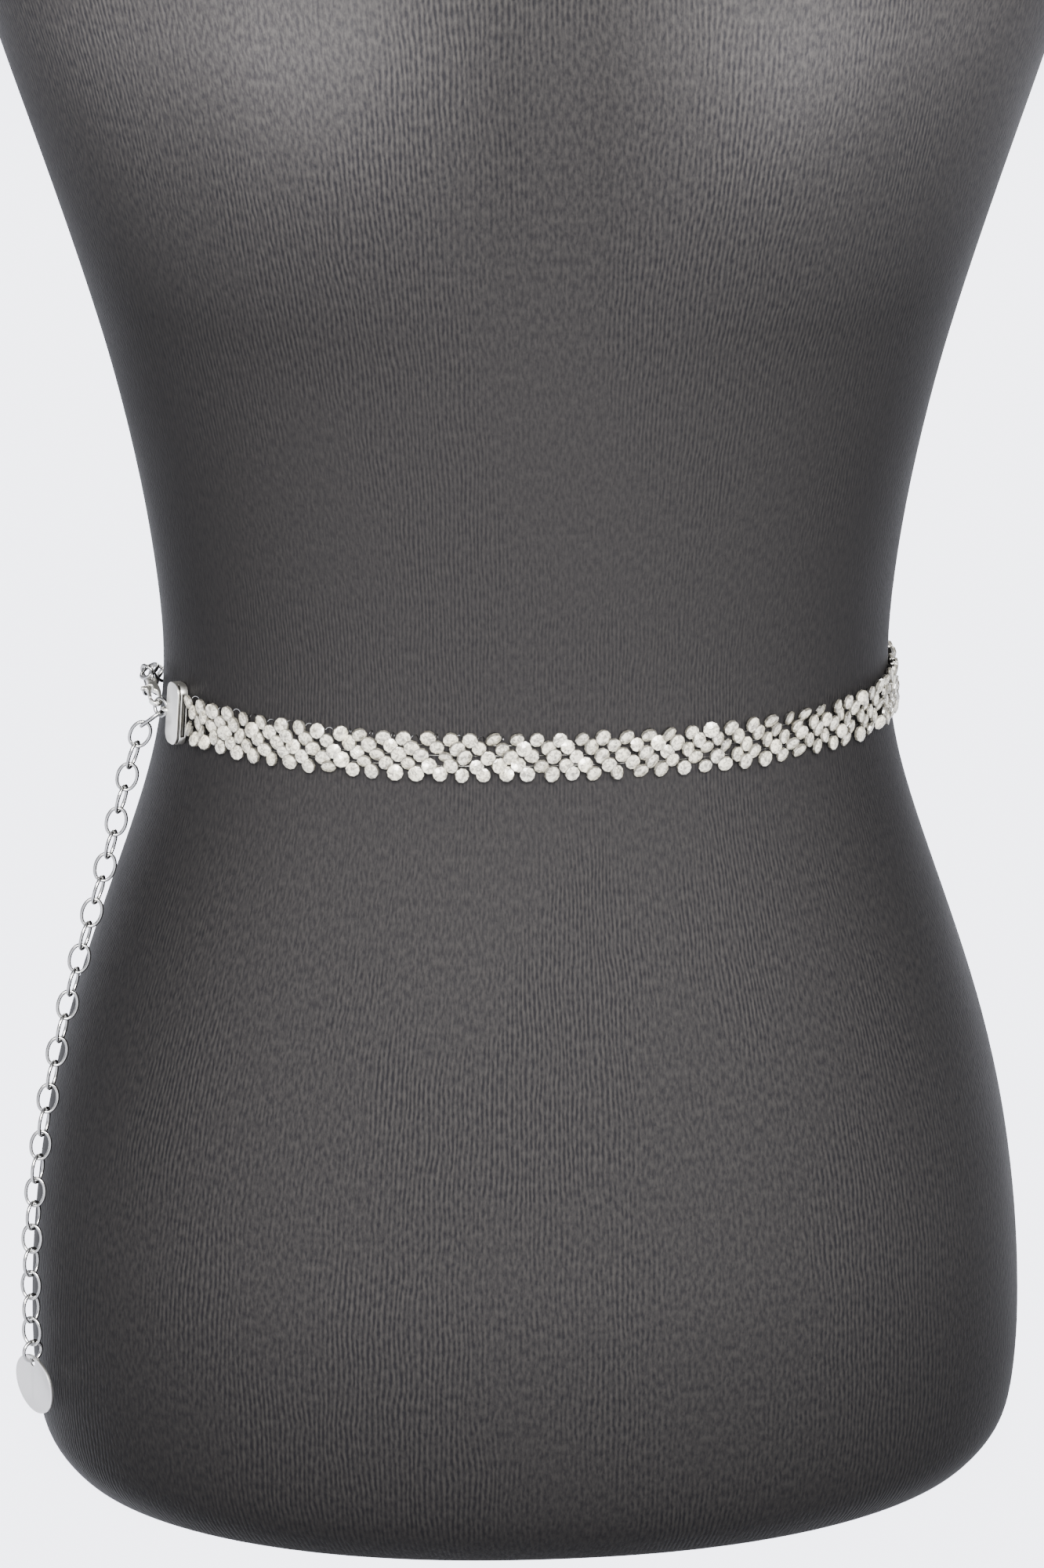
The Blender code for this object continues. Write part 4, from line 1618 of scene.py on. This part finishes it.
@dataclass
class Studio:
    """The camera at the photograph's viewpoint, a pale floor and soft lights."""

    aim: Triple = (-0.0012965, 0.0000952, 0.2355)
    forward: Triple = (0.07004, 0.95373, -0.29237)
    distance: float = 1.6
    lens: float = 108.54
    frame_height: float = 36.0
    clip: Pair = (0.05, 200.0)
    floor_size: float = 60.0
    glow: float = 6.6
    far_glow: float = 4.3
    surround: float = 0.10
    shine: float = 1.5
    floor_shine: float = 2.4
    floor_grain: float = 400.0
    sky: Colour = (0.94, 0.95, 1.0)
    paper: tuple[Colour, Colour] = ((0.17, 0.175, 0.18), (0.19, 0.195, 0.20))
    lit_paper: tuple[Colour, Colour] = ((0.61, 0.62, 0.69), (0.63, 0.64, 0.71))
    lights: tuple[SoftLight, ...] = (
        SoftLight("window_left", (-1.5, -1.9, 1.9), 0.9, 38.0),
        SoftLight("window_right", (1.5, -2.1, 1.7), 0.9, 32.0),
        SoftLight("back_soft", (0.5, 2.7, 1.7), 1.6, 110.0),
        SoftLight("front_soft", (0.0, -2.6, 1.6), 1.4, 250.0),
    )

    def build(self) -> None:
        """Sets up everything that isn't part of the object."""
        self.camera()
        self.floor()
        self.world()
        for light in self.lights:
            light.build()

    def camera(self) -> None:
        """The camera, looking down a little from the front."""
        lens = bpy.data.cameras.new("photo_view")
        lens.lens = self.lens
        lens.sensor_fit = "VERTICAL"
        lens.sensor_height = self.frame_height
        lens.clip_start, lens.clip_end = self.clip
        camera = linked("photo_view", lens)
        forward = Vector(self.forward)
        camera.location = Vector(self.aim) - forward.normalized() * self.distance
        camera.rotation_euler = forward.to_track_quat("-Z", "Y").to_euler()
        bpy.context.scene.camera = camera

    def floor(self) -> None:
        """A wide pale floor at the form's base, lit from under where the camera or metal sees it."""
        put_down()
        bpy.ops.mesh.primitive_plane_add(size=self.floor_size, location=CENTRE)
        floor = newest()
        floor.name = "pale_floor"
        material, tree, shader, place = new_material("pale_floor")
        grain = noise(tree, "paper grain", place, self.floor_grain)
        rays = add_node(tree, "LightPath", "seen by the camera", {}).outputs
        glow = maths(tree, "MULTIPLY", "lit backdrop", rays["Is Camera Ray"], self.glow)
        glow = maths(tree, "MULTIPLY_ADD", "in metal too", rays["Is Glossy Ray"], self.floor_shine, glow)
        surface = {
            "Roughness": 0.9,
            "Specular IOR Level": 0.1,
            "Base Color": blend(tree, "paper", grain, *self.paper),
            "Emission Color": blend(tree, "lit paper", grain, *self.lit_paper),
            "Emission Strength": glow,
        }
        feed(tree, shader, surface)
        floor.data.materials.append(material)

    def world(self) -> None:
        """A pale even surround, brighter where polished metal mirrors it and past the floor."""
        world = bpy.data.worlds.new("pale_room")
        world.use_nodes = True
        tree = world.node_tree
        rays = add_node(tree, "LightPath", "seen or mirrored", {}).outputs
        way = add_node(tree, "TexCoord", "direction", {}).outputs["Generated"]
        depth = add_node(tree, "SeparateXYZ", "ahead or behind", {0: way}).outputs["Y"]
        ahead = spread(tree, "lit wall in front, dim sides", depth, (-0.75, -0.15), (1.0, 0.2))
        ahead = maths(tree, "MULTIPLY", "what metal mirrors", ahead, rays["Is Glossy Ray"])
        strength = maths(tree, "MULTIPLY_ADD", "surround", ahead, self.shine, self.surround)
        far = rays["Is Camera Ray"]
        strength = maths(tree, "MULTIPLY_ADD", "pale past the floor", far, self.far_glow, strength)
        feed(tree, tree.nodes["Background"], {"Color": self.sky, "Strength": strength})
        bpy.context.scene.world = world


def main() -> None:
    """Builds every piece in order."""
    logging.basicConfig(level=logging.INFO, format="%(message)s")
    line = BeltLine()
    shapes = WireShapes()
    handling = handling_group()
    silver, cast, satin, cups = (metal.build(handling) for metal in (SILVER, CAST, SATIN, CUPS))
    FormCover(KNIT.build(knit_group()), BOARD.build()).build()
    StoneBand(line, STONE.build(), cups, silver).build()
    for way, along, side in (("left", -BAR_MIDDLE, -1), ("right", BAND_LENGTH + BAR_MIDDLE, 1)):
        EndBar(line, cast, way, along, side).build()
    Fastening(shapes, silver, cast).build()
    BackChain(line, shapes, silver).build()
    HangingChain(shapes, silver).build()
    DiscTag(satin).build()
    Studio().build()


if __name__ == "__main__":
    main()
